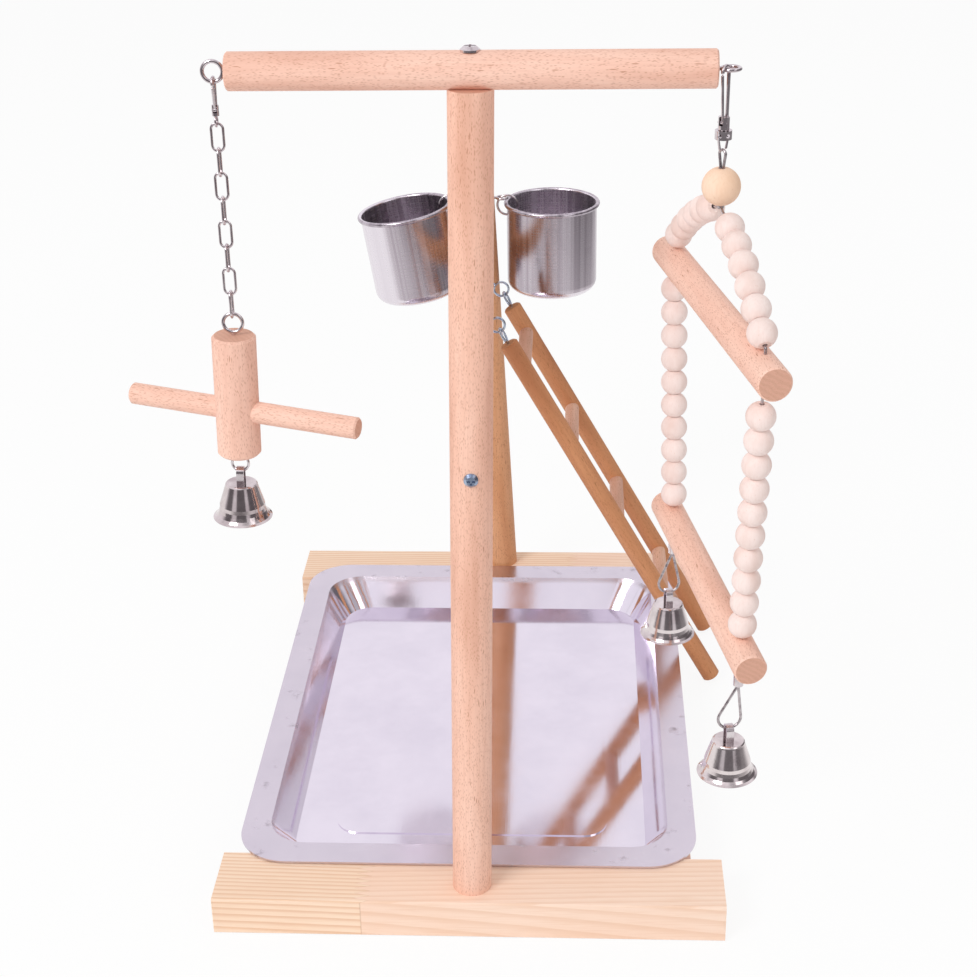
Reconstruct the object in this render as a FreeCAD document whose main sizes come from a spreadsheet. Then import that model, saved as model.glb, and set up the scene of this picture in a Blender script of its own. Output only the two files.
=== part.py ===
"""Tabletop play stand for a parrot.

Two pine battens and two side rails carry a lift-out steel tray.  A tall front post
holds a crossbar; a bridge perch runs back from it to a shorter rear post.  Steel cups
hang beside the rear post, a ladder hangs from the bridge, and a chain toy and a
beaded double swing hang from the crossbar's ends.

Millimetres, +Z up, +X to the right as seen from the front (the front looks along +Y).
The origin is the centre of the front batten's underside.
"""
import FreeCAD, Part
import math
import os
import re
import Sketcher

# ---------------------------------------------------------------- driving dimensions
SIZES = {
    # base frame
    "base_length": 291,             # battens, left to right
    "base_depth": 422,              # front face to rear face
    "batten_width": 44,
    "batten_height": 24,
    "batten_edge": 0.8,             # eased long edges
    "rail_diameter": 12,            # side rails between the battens
    "rail_offset": 123,             # side rail axis from the middle plane
    "rail_height": 12,              # side rail axis above the floor
    "rail_socket": 12,              # depth of a side rail's end in its batten
    # posts and perches
    "post_diameter": 22,            # front and rear posts
    "front_post_x": 2,              # foot of the front post
    "front_post_y": -4.4,
    "front_post_lean": 1.06,        # degrees, top to the right
    "rear_post_x": 4.4,             # foot of the rear post
    "rear_post_y": 385.5,
    "rear_post_lean": -2.6,         # degrees, top to the left
    "rear_post_top": 338,           # above the floor
    "post_edge": 0.6,               # eased edge of the rear post's top
    "post_overrun": 5,              # blank below the batten's top, trimmed off
    "crossbar_diameter": 18,
    "crossbar_length": 226.2,
    "crossbar_height": 489,         # axis above the floor
    "crossbar_seat": 0.8,           # depth of the seat cut for the post's top
    "perch_diameter": 18,           # bridge perch
    "perch_front_height": 285,      # axis at the front post
    "perch_rear_height": 273,       # axis at the rear post
    "dowel_edge": 0.8,              # eased ends of the turned dowels
    # screws
    "screw_shank": 3.6,
    "screw_head": 7.4,              # head diameter of the bridge and base screws
    "screw_head_height": 2.4,
    "crossbar_screw_head": 9.4,
    "bridge_screw_length": 45,      # under the head
    "crossbar_screw_length": 42,
    "base_screw_length": 50,
    "base_screw_sink": 3.5,         # head below the batten's underside
    "recess_width": 1.1,            # cross recess
    "recess_depth": 1.2,
    # eye screws
    "end_eye_ring": 9.6,            # ring centreline diameter, crossbar's left end
    "end_eye_wire": 2.0,
    "side_eye_ring": 8.4,           # crossbar's right end
    "eye_shank": 14,                # length in the wood
    "eye_neck": 1.6,                # ring to the wood
    "ladder_eye_ring": 9.8,         # four eyes that hinge the ladder
    "ladder_eye_wire": 1.6,
    "ladder_eye_out": 11.4,         # near hinge eye to the right of the bridge's axis
    "ladder_eye_down": 11.8,        # and below it
    "cup_eye_ring": 7.6,            # eyes on the rear post
    "cup_eye_wire": 1.7,
    "side_eye_wire": 1.9,
    "toy_eye_ring": 9.6,            # eye on the toy block's top
    "toy_eye_wire": 1.8,
    "bell_eye_ring": 8.4,           # eye under the toy block
    "bell_eye_wire": 1.5,
    "link_play": 0.15,              # gap between linked rings
    # tray
    "tray_width": 270,              # over the rim, left to right
    "tray_length": 362,             # over the rim, front to rear
    "tray_depth": 19.5,             # rim to the underside of the floor
    "tray_x": -3.1,                 # tray centre
    "tray_y": 192,
    "tray_rim": 15.5,               # flat rim width at the sides
    "tray_end_rim": 17.4,           # flat rim width at the front and rear
    "tray_slope": 12.5,             # wall's lean inward from rim to floor
    "tray_sheet": 0.8,              # steel thickness
    "tray_corner": 30,              # rim's outer corner radius
    "tray_roll": 0.9,               # radius of the rolled edge
    "panel_margin": 24,             # raised floor panel from the floor's edge
    "panel_corner": 14,
    "panel_rise": 0.7,
    "tray_gap": 0.2,                # rolled edge above the battens
    # cups
    "cup_diameter": 62.6,
    "cup_height": 62,
    "cup_sheet": 0.9,
    "cup_bottom_radius": 7.5,
    "cup_lip": 1.5,                 # radius of the rolled lip
    "cup_ring": 14,                 # ring through the cup's wall, centreline diameter
    "cup_ring_wire": 1.6,
    "cup_hole": 4,                  # hole for the ring
    "cup_hole_drop": 9.5,           # hole below the lip
    "cup_eye_height": 310.3,        # cup eyes above the floor
    "right_cup_tilt": 0,            # degrees
    "left_cup_tilt": 9,             # degrees, outer side low
    # ladder
    "ladder_y": 256,                # near rail, front to rear place
    "ladder_width": 68,             # rail to rail
    "ladder_rim_gap": 4,            # rails clear of the tray's edge
    "ladder_floor_gap": 0.4,        # feet clear of the floor
    "ladder_rail": 12.2,            # rail diameter
    "ladder_rung": 9.4,             # rung diameter
    "rung_first": 20,               # first rung from the rail's top
    "rung_pitch": 64,
    "rung_socket": 8,               # rung end in its rail
    # chain and block toy
    "clip_length": 15.8,            # held wire to barrel foot
    "clip_width": 5.4,              # leg to leg
    "clip_wire": 1.7,
    "clip_barrel": 3.4,             # diameter
    "clip_barrel_length": 5,
    "clip_loop": 5,                 # loop under the barrel, centreline diameter
    "clip_loop_wire": 1.1,
    "gate_play": 0.3,               # gate clear of the hook's nose and slot
    "link_wire": 1.3,
    "link_inside": 12,              # inside length
    "link_width": 5.7,              # centreline width
    "block_diameter": 22,
    "block_length": 64,
    "block_edge": 1.2,
    "block_tilt": 1.6,              # degrees from plumb, foot to the left
    "cross_perch_diameter": 11,
    "cross_perch_length": 124,
    "cross_perch_drop": 40,         # axis below the block's top
    "cross_perch_shift": 3.4,       # middle from the block's axis
    "cross_perch_turn": -15.6,      # degrees about the block
    "cross_perch_dip": 0.6,         # degrees, right end low
    # bells
    "bell_rim": 15.2,               # rim radius
    "bell_waist": 11.6,             # radius above the flare
    "bell_flare": 7.5,              # height of the flare
    "bell_crown": 8.4,              # radius of the flat top
    "bell_height": 19,
    "bell_sheet": 0.8,
    "bell_edge": 1.4,               # rounding of the crown
    "strap_width": 3.8,             # handle strap
    "strap_sheet": 0.9,
    "strap_bend": 2.2,              # inside radius of the strap's bend
    "strap_rise": 8,                # strap's inside top above the crown
    "strap_tail": 3.4,              # strap ends below the crown
    "clapper_diameter": 5.4,
    "clapper_drop": 12,             # ball below its pin
    "clapper_wire": 0.9,
    "clapper_ring": 2.8,            # ring at the clapper's top, centreline diameter
    # swing
    "clasp_length": 27.3,           # held wire to barrel foot
    "clasp_width": 5.2,             # leg to leg
    "clasp_wire": 1.7,
    "clasp_barrel": 5.4,            # diameter
    "clasp_barrel_length": 6,
    "collar_diameter": 8,           # swivel collar
    "collar_height": 4.2,
    "collar_gap": 0.2,              # collar below the barrel
    "swivel_pin": 2,                # diameter
    "swivel_head": 3.6,             # pin head in the collar
    "swivel_fit": 0.12,             # radial play round the pin
    "swivel_loop": 6.2,             # loop's width at the collar, centreline
    "swivel_foot": 4,               # loop's width at the foot, centreline
    "swivel_drop": 6.6,             # collar foot to the loop's lowest centreline
    "swivel_wire": 1.2,
    "swivel_turn": 40,              # degrees, loop turned from left-to-right
    "swing_turn": 12,               # degrees, bars turned from front-to-rear
    "hook_turn": 233,               # degrees round the right eye where the clasp hangs
    "top_bead_diameter": 18.4,
    "top_bead_drop": 15.9,          # swivel loop to the bead's middle
    "sleeve": 3.2,                  # diameter of the cable sleeve in the top bead
    "cable": 1.4,                   # steel cable diameter
    "cable_loop": 4,                # cable loop above the bead, centreline width
    "bead_diameter": 14,
    "bead_length": 12.6,
    "bead_pitch": 12.75,
    "bead_bore": 2.4,
    "apex_gap": 0.6,                # strings' start below the top bead
    "upper_arc": 196,               # radius of the upper strings' curve
    "upper_arc_start": 15,          # degrees below level at the top bead
    "upper_arc_end": 41,            # degrees below level at the bar
    "first_bead_place": 17.3,       # apex to the first bead, along the curve
    "bar_gap": 2.6,                 # curve's end above the upper bar
    "upper_bar_length": 188,
    "swing_bar_diameter": 16.4,
    "pivot_depth": 1,               # lower strings' pivot inside the upper bar
    "lower_drop": 148.3,            # upper bar to lower bar
    "lower_bar_length": 165,
    "lower_spread": 64,             # lower holes from the middle
    "lower_bar_tilt": 3.2,          # degrees, far end high
    "bead_seat": 0.8,               # lowest bead above the lower bar
    "crimp_drop": 5.5,              # crimp below the lower bar
    "crimp_diameter": 5,
    "crimp_length": 6.5,
    "bell_loop_width": 13,          # teardrop loop
    "bell_loop_drop": 25,           # crimp foot to the loop's lowest centreline
    "near_loop_lean": 11,           # degrees, loop's foot to the left
    "far_loop_lean": 5,
}
UPPER_BEADS = 6      # beads on each upper string
LOWER_BEADS = 10     # beads on each lower string
CHAIN_LINKS = 8
RUNGS = 4
FLARE_STEP = 15      # degrees of arc between the points of a bell's flare
CROWN_STEP = 30      # and of its rounded crown

doc = FreeCAD.newDocument("parrot_play_stand")
sheet = doc.addObject("Spreadsheet::Sheet", "dims")
for row, (alias, value) in enumerate(SIZES.items(), start=1):
    sheet.set(f"A{row}", alias)
    sheet.set(f"B{row}", str(value))
    sheet.setAlias(f"B{row}", alias)
doc.recompute()


# ---------------------------------------------------------------- expression helpers
def term(text):
    """Expression text in which every size's name points at its cell."""
    def cell(match):
        word = match.group()
        return f"dims.{word}" if word in SIZES else word
    return re.sub(r"[a-z][a-z_]*", cell, str(text))


def bind(target, **sizes):
    """Ties properties of an object to expressions of the sheet's sizes."""
    for name, text in sizes.items():
        target.setExpression(name, term(text))
    return target


def move(x=0, y=0, z=0):
    """A step along the axes, as placement text."""
    return (f"create(<<placement>>; create(<<vector>>; {x}; {y}; {z}); "
            "create(<<rotation>>; create(<<vector>>; 0; 0; 1); 0))")


def turn(axis, angle):
    """A turn about X, Y or Z, as placement text."""
    vector = {"X": "1; 0; 0", "Y": "0; 1; 0", "Z": "0; 0; 1"}[axis]
    return ("create(<<placement>>; create(<<vector>>; 0; 0; 0); "
            f"create(<<rotation>>; create(<<vector>>; {vector}); {angle}))")


def seat(target, *steps):
    """Places an object by a chain of moves and turns."""
    if steps:
        target.setExpression("Placement", term(" * ".join(steps)))
    return target


# ---------------------------------------------------------------- shape helpers
def primitive(kind, label, steps, **sizes):
    made = doc.addObject(f"Part::{kind}", label)
    bind(made, **sizes)
    return seat(made, *steps)


def cylinder(label, steps, diameter, length):
    """Cylinder along local +Z from the local origin."""
    return primitive("Cylinder", label, steps, Radius=f"({diameter}) / 2", Height=length)


def ring(label, steps, diameter, wire):
    """Wire ring in the local XZ plane, centred on the local origin."""
    steps = [*steps, turn("X", 90)]
    return primitive("Torus", label, steps, Radius1=f"({diameter}) / 2", Radius2=f"({wire}) / 2")


def half_ring(label, steps, diameter, wire):
    """Upper half of a ring in the local XZ plane."""
    made = ring(label, steps, diameter, wire)
    made.Angle3 = 180
    return made


def box(label, steps, across, along, up):
    """Box centred on the local origin in X and Y, standing on it in Z."""
    steps = [*steps, move(f"-({across}) / 2", f"-({along}) / 2", 0)]
    return primitive("Box", label, steps, Length=across, Width=along, Height=up)


def joined(label, *pieces):
    made = doc.addObject("Part::MultiFuse", label)
    made.Shapes = list(pieces)
    return made


def cut(label, base, *tools):
    made = doc.addObject("Part::Cut", label)
    made.Base = base
    made.Tool = tools[0] if len(tools) == 1 else joined(f"{label}_tools", *tools)
    return made


def common(label, base, tool):
    made = doc.addObject("Part::Common", label)
    made.Base = base
    made.Tool = tool
    return made


def group(label, *pieces):
    """Separate solids that share one node."""
    made = doc.addObject("Part::Compound", label)
    made.Links = list(pieces)
    return made


def origin_plane(body, role):
    return [plane for plane in body.Origin.OriginFeatures if plane.Role == role][0]


def new_sketch(body, name, role, height="0"):
    """Sketch on one of the body's origin planes, raised by a height."""
    sketch = body.newObject("Sketcher::SketchObject", name)
    sketch.AttachmentSupport = [(origin_plane(body, role), "")]
    sketch.MapMode = "FlatFace"
    sketch.setExpression("AttachmentOffset.Base.z", term(height))
    return sketch


def fix(sketch, kind, first, second, text, drawn=1.0):
    """A distance between two sketch points, drawn at one value, then tied to an expression."""
    index = sketch.addConstraint(Sketcher.Constraint(kind, *first, *second, drawn))
    sketch.setExpression(f"Constraints[{index}]", term(text))


def polygon(sketch, points):
    """Closed outline whose corners lie at the given places."""
    count = len(points)
    start = [FreeCAD.Vector(10 + index, 10 + index * index % 7, 0) for index in range(count)]
    for index in range(count):
        sketch.addGeometry(Part.LineSegment(start[index], start[(index + 1) % count]), False)
    for index in range(count):
        sketch.addConstraint(Sketcher.Constraint("Coincident", index, 2, (index + 1) % count, 1))
    for index, (across, up) in enumerate(points):
        fix(sketch, "DistanceX", (-1, 1), (index, 1), across)
        fix(sketch, "DistanceY", (-1, 1), (index, 1), up)


def turned(label, profile, *steps):
    """Body turned about local Z from a half profile of (radius, height) corners."""
    body = doc.addObject("PartDesign::Body", label)
    sketch = new_sketch(body, f"{label}_profile", "XZ_Plane")
    polygon(sketch, profile)
    made = body.newObject("PartDesign::Revolution", f"{label}_turn")
    made.Profile = sketch
    made.ReferenceAxis = (sketch, ["V_Axis"])
    made.Angle = 360
    return seat(body, *steps)


def dowel(label, diameter, length, edge, *steps):
    """Round bar along local +Z with eased ends."""
    radius = f"({diameter}) / 2"
    profile = [
        ("0", "0"), (f"{radius} - {edge}", "0"), (radius, edge),
        (radius, f"{length} - {edge}"), (f"{radius} - {edge}", length), ("0", length),
    ]
    return turned(label, profile, *steps)


def rounded_rectangle(sketch, width, length, corner):
    """Rounded rectangle centred on the sketch's origin."""
    half_x, half_y, radius = 60.0, 90.0, 10.0
    first = sketch.GeometryCount
    lines = [
        ((half_x - radius, half_y), (radius - half_x, half_y)),
        ((-half_x, half_y - radius), (-half_x, radius - half_y)),
        ((radius - half_x, -half_y), (half_x - radius, -half_y)),
        ((half_x, radius - half_y), (half_x, half_y - radius)),
    ]
    centres = [(radius - half_x, half_y - radius), (radius - half_x, radius - half_y),
               (half_x - radius, radius - half_y), (half_x - radius, half_y - radius)]
    for index in range(4):
        (x1, y1), (x2, y2) = lines[index]
        line = Part.LineSegment(FreeCAD.Vector(x1, y1, 0), FreeCAD.Vector(x2, y2, 0))
        sketch.addGeometry(line, False)
        centre = FreeCAD.Vector(*centres[index], 0)
        circle = Part.Circle(centre, FreeCAD.Vector(0, 0, 1), radius)
        quarter = 1.5707963267948966
        arc = Part.ArcOfCircle(circle, quarter * (index + 1), quarter * (index + 2))
        sketch.addGeometry(arc, False)
    for index in range(4):
        line = first + 2 * index
        arc = line + 1
        following = first + (2 * index + 2) % 8
        sketch.addConstraint(Sketcher.Constraint("Tangent", line, 2, arc, 1))
        sketch.addConstraint(Sketcher.Constraint("Tangent", arc, 2, following, 1))
        if index:
            sketch.addConstraint(Sketcher.Constraint("Equal", first + 1, arc))
    sketch.addConstraint(Sketcher.Constraint("Horizontal", first))
    sketch.addConstraint(Sketcher.Constraint("Vertical", first + 2))
    sketch.addConstraint(Sketcher.Constraint("Horizontal", first + 4))
    sketch.addConstraint(Sketcher.Constraint("Vertical", first + 6))
    sketch.addConstraint(Sketcher.Constraint("Symmetric", first, 1, first + 4, 1, -1, 1))
    fix(sketch, "DistanceX", (first + 2, 1), (first + 6, 1), width, 2 * half_x)
    fix(sketch, "DistanceY", (first + 4, 1), (first, 2), length, 2 * half_y)
    index = sketch.addConstraint(Sketcher.Constraint("Radius", first + 1, radius))
    sketch.setExpression(f"Constraints[{index}]", term(corner))


def circle_at(sketch, centre, diameter):
    """Circle in a sketch with its centre and diameter tied to the sheet."""
    index = sketch.addGeometry(Part.Circle(FreeCAD.Vector(5, 5, 0), FreeCAD.Vector(0, 0, 1), 2))
    fix(sketch, "DistanceX", (-1, 1), (index, 3), centre[0])
    fix(sketch, "DistanceY", (-1, 1), (index, 3), centre[1])
    mark = sketch.addConstraint(Sketcher.Constraint("Diameter", index, 4))
    sketch.setExpression(f"Constraints[{mark}]", term(diameter))


NODES = []


def node(made):
    """Marks an object as a sub-part; its label names its file."""
    NODES.append(made)
    return made


# ---------------------------------------------------------------- fasteners
def pan_screw(label, head, length, *steps):
    """Cross-recess screw: head above the local origin, shank along local -Z."""
    blank = turned(
        f"{label}_blank",
        [("0", f"-({length})"), ("screw_shank * 0.15", f"-({length})"),
         ("screw_shank / 2", f"-({length}) + screw_shank"), ("screw_shank / 2", "0"),
         (f"({head}) / 2", "0"), (f"({head}) / 2", "screw_head_height * 0.4"),
         (f"({head}) * 0.32", "screw_head_height"), ("0", "screw_head_height")], *steps)
    floor = "screw_head_height - recess_depth"
    slots = [box(f"{label}_slot_{index}", [*steps, move(0, 0, floor)], across, along, "recess_depth * 2")
             for index, (across, along) in enumerate((
                 (f"({head}) * 0.55", "recess_width"), ("recess_width", f"({head}) * 0.55")))]
    return cut(label, blank, *slots)


def eye_screw(label, diameter, wire, steps, neck="eye_neck"):
    """Eye: ring in the local XZ plane at the local origin, shank along local -Z."""
    loop = ring(f"{label}_ring", steps, diameter, wire)
    shank = cylinder(f"{label}_shank", [*steps, move(0, 0, f"-({diameter}) / 2 - ({neck}) - eye_shank")],
                     f"({wire}) * 1.1", f"({neck}) + eye_shank")
    return joined(label, loop, shank)


# ---------------------------------------------------------------- frames of reference
FRONT_POST = [move("front_post_x", "front_post_y", "batten_height"), turn("Y", "front_post_lean")]
REAR_POST = [move("rear_post_x", "rear_post_y", "batten_height"), turn("Y", "rear_post_lean")]
CROSSBAR_X = "(front_post_x + (crossbar_height - batten_height) * tan(front_post_lean))"
PERCH_FRONT_X = "(front_post_x + (perch_front_height - batten_height) * tan(front_post_lean))"
PERCH_REAR_X = "(rear_post_x + (perch_rear_height - batten_height) * tan(rear_post_lean))"
PERCH_RUN = "(rear_post_y - front_post_y)"
PERCH_YAW = f"(atan(({PERCH_FRONT_X} - {PERCH_REAR_X}) / {PERCH_RUN}) / 1 deg)"
PERCH_PITCH = f"(atan((perch_front_height - perch_rear_height) / {PERCH_RUN}) / 1 deg)"
PERCH_LENGTH = (f"sqrt({PERCH_RUN} ^ 2 + ({PERCH_FRONT_X} - {PERCH_REAR_X}) ^ 2"
                " + (perch_front_height - perch_rear_height) ^ 2)")
# Local +Z runs from the front post to the rear post, local -Y is up.
PERCH = [move(PERCH_FRONT_X, "front_post_y", "perch_front_height"), turn("Z", PERCH_YAW),
         turn("X", f"-90 - {PERCH_PITCH}")]


def perch_share(place_y):
    """How far along the bridge a front-to-rear place lies, from 0 to 1."""
    return f"(({place_y} - front_post_y) / {PERCH_RUN})"


def perch_x(place_y):
    return f"({PERCH_FRONT_X} - ({PERCH_FRONT_X} - {PERCH_REAR_X}) * {perch_share(place_y)})"


def perch_z(place_y):
    return f"(perch_front_height - (perch_front_height - perch_rear_height) * {perch_share(place_y)})"


# ---------------------------------------------------------------- fasteners of the stand
crossbar_screw = node(pan_screw(
    "crossbar_screw", "crossbar_screw_head", "crossbar_screw_length",
    move(CROSSBAR_X, "front_post_y", "crossbar_height + crossbar_diameter / 2 - 0.3")))
bridge_screws = node(group(
    "bridge_screws",
    pan_screw("front_bridge_screw", "screw_head", "bridge_screw_length", *PERCH,
              move(0, 0, "-post_diameter / 2 + 0.3"), turn("X", 180)),
    pan_screw("rear_bridge_screw", "screw_head", "bridge_screw_length", *PERCH,
              move(0, 0, f"{PERCH_LENGTH} + post_diameter / 2 - 0.3"))))
base_screws = node(group(
    "base_screws",
    *[pan_screw(f"{name}_base_screw", "screw_head", "base_screw_length", *frame,
                move(0, 0, "-batten_height + base_screw_sink"), turn("X", 180))
      for name, frame in (("front", FRONT_POST), ("rear", REAR_POST))]))

LEFT_EYE = [move(f"{CROSSBAR_X} - crossbar_length / 2 - eye_neck - end_eye_ring / 2",
                 "front_post_y", "crossbar_height")]
RIGHT_EYE = [move(f"{CROSSBAR_X} + crossbar_length / 2 + eye_neck + side_eye_ring / 2",
                  "front_post_y", "crossbar_height")]
left_end_eye = node(eye_screw("left_end_eye", "end_eye_ring", "end_eye_wire",
                              [*LEFT_EYE, turn("Y", -90)]))
right_end_eye = node(eye_screw("right_end_eye", "side_eye_ring", "side_eye_wire",
                               [*RIGHT_EYE, turn("Y", 90), turn("Z", 90)]))

# Two eyes leave the bridge to the right and downward; their rings share the ladder's hinge line.
HINGE_X = f"({perch_x('ladder_y')} + ladder_eye_out)"
HINGE_Z = f"({perch_z('ladder_y')} - ladder_eye_down)"


def perch_eye(label, place_y):
    """Eye from the bridge's axis out to the ladder's hinge line."""
    out = f"({HINGE_X} - {perch_x(place_y)})"
    down = f"({perch_z(place_y)} - {HINGE_Z})"
    neck = f"sqrt({out} ^ 2 + {down} ^ 2) - perch_diameter / 2 - ladder_eye_ring / 2"
    lean = f"90 + (atan({down} / {out}) / 1 deg)"
    return eye_screw(label, "ladder_eye_ring", "ladder_eye_wire",
                     [move(HINGE_X, place_y, HINGE_Z), turn("Y", lean)], neck)


LADDER_PLACES = (("near", "ladder_y"), ("far", "(ladder_y + ladder_width)"))
ladder_perch_eyes = node(group(
    "ladder_perch_eyes", *[perch_eye(f"{name}_perch_eye", place_y) for name, place_y in LADDER_PLACES]))


def post_x(height):
    """Axis of the rear post at a height."""
    return f"(rear_post_x + ({height} - batten_height) * tan(rear_post_lean))"


def cup_eye_x(sign):
    """Centre of the ring of an eye on the rear post."""
    return f"({post_x('cup_eye_height')} + ({sign}) * (post_diameter / 2 + eye_neck + cup_eye_ring / 2))"


SIDES = (("right", "1"), ("left", "-1"))
cup_post_eyes = node(group(
    "cup_post_eyes",
    *[eye_screw(f"{side}_cup_eye", "cup_eye_ring", "cup_eye_wire",
                [move(cup_eye_x(sign), "rear_post_y", "cup_eye_height"), turn("Y", f"({sign}) * 90"),
                 turn("Z", 90)])
      for side, sign in SIDES]))


# ---------------------------------------------------------------- base frame
def batten(label, middle_y):
    """Squared pine batten with eased long edges, standing on the floor."""
    body = doc.addObject("PartDesign::Body", f"{label}_blank")
    sketch = new_sketch(body, f"{label}_section", "YZ_Plane")
    half = "batten_width / 2"
    polygon(sketch, [
        (f"-{half} + batten_edge", "0"), (f"{half} - batten_edge", "0"), (half, "batten_edge"),
        (half, "batten_height - batten_edge"), (f"{half} - batten_edge", "batten_height"),
        (f"-{half} + batten_edge", "batten_height"), (f"-{half}", "batten_height - batten_edge"),
        (f"-{half}", "batten_edge")])
    pad = body.newObject("PartDesign::Pad", f"{label}_pad")
    pad.Profile = sketch
    pad.Midplane = True
    bind(pad, Length="base_length")
    return seat(body, move(0, middle_y, 0))


RAIL_START = "(batten_width / 2 - rail_socket)"
RAIL_LENGTH = "(base_depth - 2 * batten_width + 2 * rail_socket)"
side_rails = {
    side: node(dowel(f"{side}_side_rail", "rail_diameter", RAIL_LENGTH, "batten_edge",
                     move(f"({sign}) * rail_offset", RAIL_START, "rail_height"), turn("X", -90)))
    for side, sign in (("left", "-1"), ("right", "1"))}


def screw_well(label, frame):
    """Room for a base screw's head in the batten's underside."""
    return cylinder(label, [*frame, move(0, 0, "-batten_height - 2")], "screw_head + 1",
                    "base_screw_sink + 2")


rail_tools = [cylinder(f"{side}_rail_socket",
                       [move(f"({sign}) * rail_offset", RAIL_START, "rail_height"), turn("X", -90)],
                       "rail_diameter", RAIL_LENGTH)
              for side, sign in (("left", "-1"), ("right", "1"))]
battens = {
    "front": node(cut("front_base_batten", batten("front_base_batten", "0"), *rail_tools, base_screws,
                      screw_well("front_screw_well", FRONT_POST))),
    "rear": node(cut("rear_base_batten", batten("rear_base_batten", "base_depth - batten_width"),
                     *rail_tools, base_screws, screw_well("rear_screw_well", REAR_POST))),
}

# ---------------------------------------------------------------- posts, crossbar, bridge
CROSSBAR_UNDERSIDE = "(crossbar_height - crossbar_diameter / 2 + crossbar_seat)"


def post_slab(label, frame_x, frame_y, top):
    """The height band that a leaning post is trimmed to."""
    return box(label, [move(frame_x, frame_y, "batten_height")], "post_diameter * 4", "post_diameter * 2",
               f"{top} - batten_height")


front_blank = common(
    "front_post_blank",
    cylinder("front_post_round", [*FRONT_POST, move(0, 0, "-post_overrun")], "post_diameter",
             "crossbar_height"),
    post_slab("front_post_band", "front_post_x", "front_post_y", CROSSBAR_UNDERSIDE))
front_post = node(cut("front_post", front_blank, base_screws, bridge_screws, crossbar_screw))

rear_blank = common(
    "rear_post_blank",
    dowel("rear_post_round", "post_diameter", "rear_post_top - batten_height + post_overrun", "post_edge",
          *REAR_POST, move(0, 0, "-post_overrun")),
    post_slab("rear_post_band", "rear_post_x", "rear_post_y", "rear_post_top + post_diameter"))
rear_post = node(cut("rear_post", rear_blank, base_screws, bridge_screws, cup_post_eyes))

crossbar = node(cut(
    "crossbar",
    dowel("crossbar_round", "crossbar_diameter", "crossbar_length", "dowel_edge",
          move(f"{CROSSBAR_X} - crossbar_length / 2", "front_post_y", "crossbar_height"), turn("Y", 90)),
    front_blank, crossbar_screw, left_end_eye, right_end_eye))

bridge_perch = node(cut(
    "bridge_perch",
    cylinder("bridge_round", PERCH, "perch_diameter", PERCH_LENGTH),
    front_blank, rear_blank, bridge_screws, ladder_perch_eyes))


# ---------------------------------------------------------------- tray
def tray_loft(body, kind, name, top, floor, inset):
    """Sloped well of the tray between its rim and a floor level."""
    well = "(tray_width - 2 * tray_rim)", "(tray_length - 2 * tray_end_rim)"
    levels = []
    for level, (height, lean) in (("top", (top, "0")), ("foot", (floor, "tray_slope"))):
        sketch = new_sketch(body, f"{name}_{level}", "XY_Plane", height)
        shrink = f"2 * ({lean} + {inset})"
        rounded_rectangle(sketch, f"{well[0]} - {shrink}", f"{well[1]} - {shrink}",
                          f"tray_corner - tray_rim * 0.4 - ({lean}) * 0.3 - {inset}")
        levels.append(sketch)
    loft = body.newObject(f"PartDesign::{kind}Loft", name)
    loft.Profile = levels[0]
    loft.Sections = [levels[1]]
    loft.Ruled = True
    return loft


def make_tray():
    """Pressed steel tray: sloped well, flat rim with a rolled edge, raised floor panel.

    Local Z = 0 is the underside of the flat rim.
    """
    body = doc.addObject("PartDesign::Body", "tray")
    tray_loft(body, "Additive", "well", "0", "-tray_depth", "0")
    sketch = new_sketch(body, "rim_outline", "XY_Plane")
    rounded_rectangle(sketch, "tray_width", "tray_length", "tray_corner")
    rim = body.newObject("PartDesign::Pad", "rim")
    rim.Profile = sketch
    bind(rim, Length="tray_sheet")
    tray_loft(body, "Subtractive", "hollow", "tray_sheet", "-tray_depth + tray_sheet", "tray_sheet")
    panel_size = [f"{side} - 2 * ({rim} + tray_slope + panel_margin)" for side, rim in
                  (("tray_width", "tray_rim"), ("tray_length", "tray_end_rim"))]
    sketch = new_sketch(body, "panel_outline", "XY_Plane", "-tray_depth + tray_sheet")
    rounded_rectangle(sketch, *panel_size, "panel_corner")
    panel = body.newObject("PartDesign::Pad", "panel")
    panel.Profile = sketch
    bind(panel, Length="panel_rise")
    sketch = new_sketch(body, "panel_underside", "XY_Plane", "-tray_depth")
    inner = [f"{side} - 2 * tray_sheet" for side in panel_size]
    rounded_rectangle(sketch, *inner, "panel_corner - tray_sheet")
    under = body.newObject("PartDesign::Pocket", "panel_under")
    under.Profile = sketch
    under.Reversed = True
    bind(under, Length="panel_rise")
    path = new_sketch(body, "roll_path", "XY_Plane", "-tray_roll + tray_sheet")
    rounded_rectangle(path, "tray_width - 2 * tray_roll", "tray_length - 2 * tray_roll",
                      "tray_corner - tray_roll")
    section = new_sketch(body, "roll_section", "XZ_Plane")
    circle_at(section, ("tray_width / 2 - tray_roll", "-tray_roll + tray_sheet"), "2 * tray_roll")
    roll = body.newObject("PartDesign::AdditivePipe", "rolled_edge")
    roll.Profile = section
    roll.Spine = (path, [])
    return body


TRAY = [move("tray_x", "tray_y", "batten_height + tray_gap + 2 * tray_roll - tray_sheet")]
tray = node(seat(make_tray(), *TRAY))


# ---------------------------------------------------------------- ladder
# The rails hang from the hinge line and clear the tray's edge by ladder_rim_gap.
EDGE_RUN = f"(tray_x + tray_width / 2 - tray_roll - {HINGE_X})"
EDGE_FALL = f"({HINGE_Z} - batten_height - tray_gap - tray_roll)"
EDGE_CLEAR = "(ladder_rail / 2 + tray_roll + ladder_rim_gap)"
LADDER_SLOPE = (f"((atan({EDGE_FALL} / {EDGE_RUN}) / 1 deg)"
                f" - (asin({EDGE_CLEAR} / sqrt({EDGE_FALL} ^ 2 + {EDGE_RUN} ^ 2)) / 1 deg))")
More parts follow.
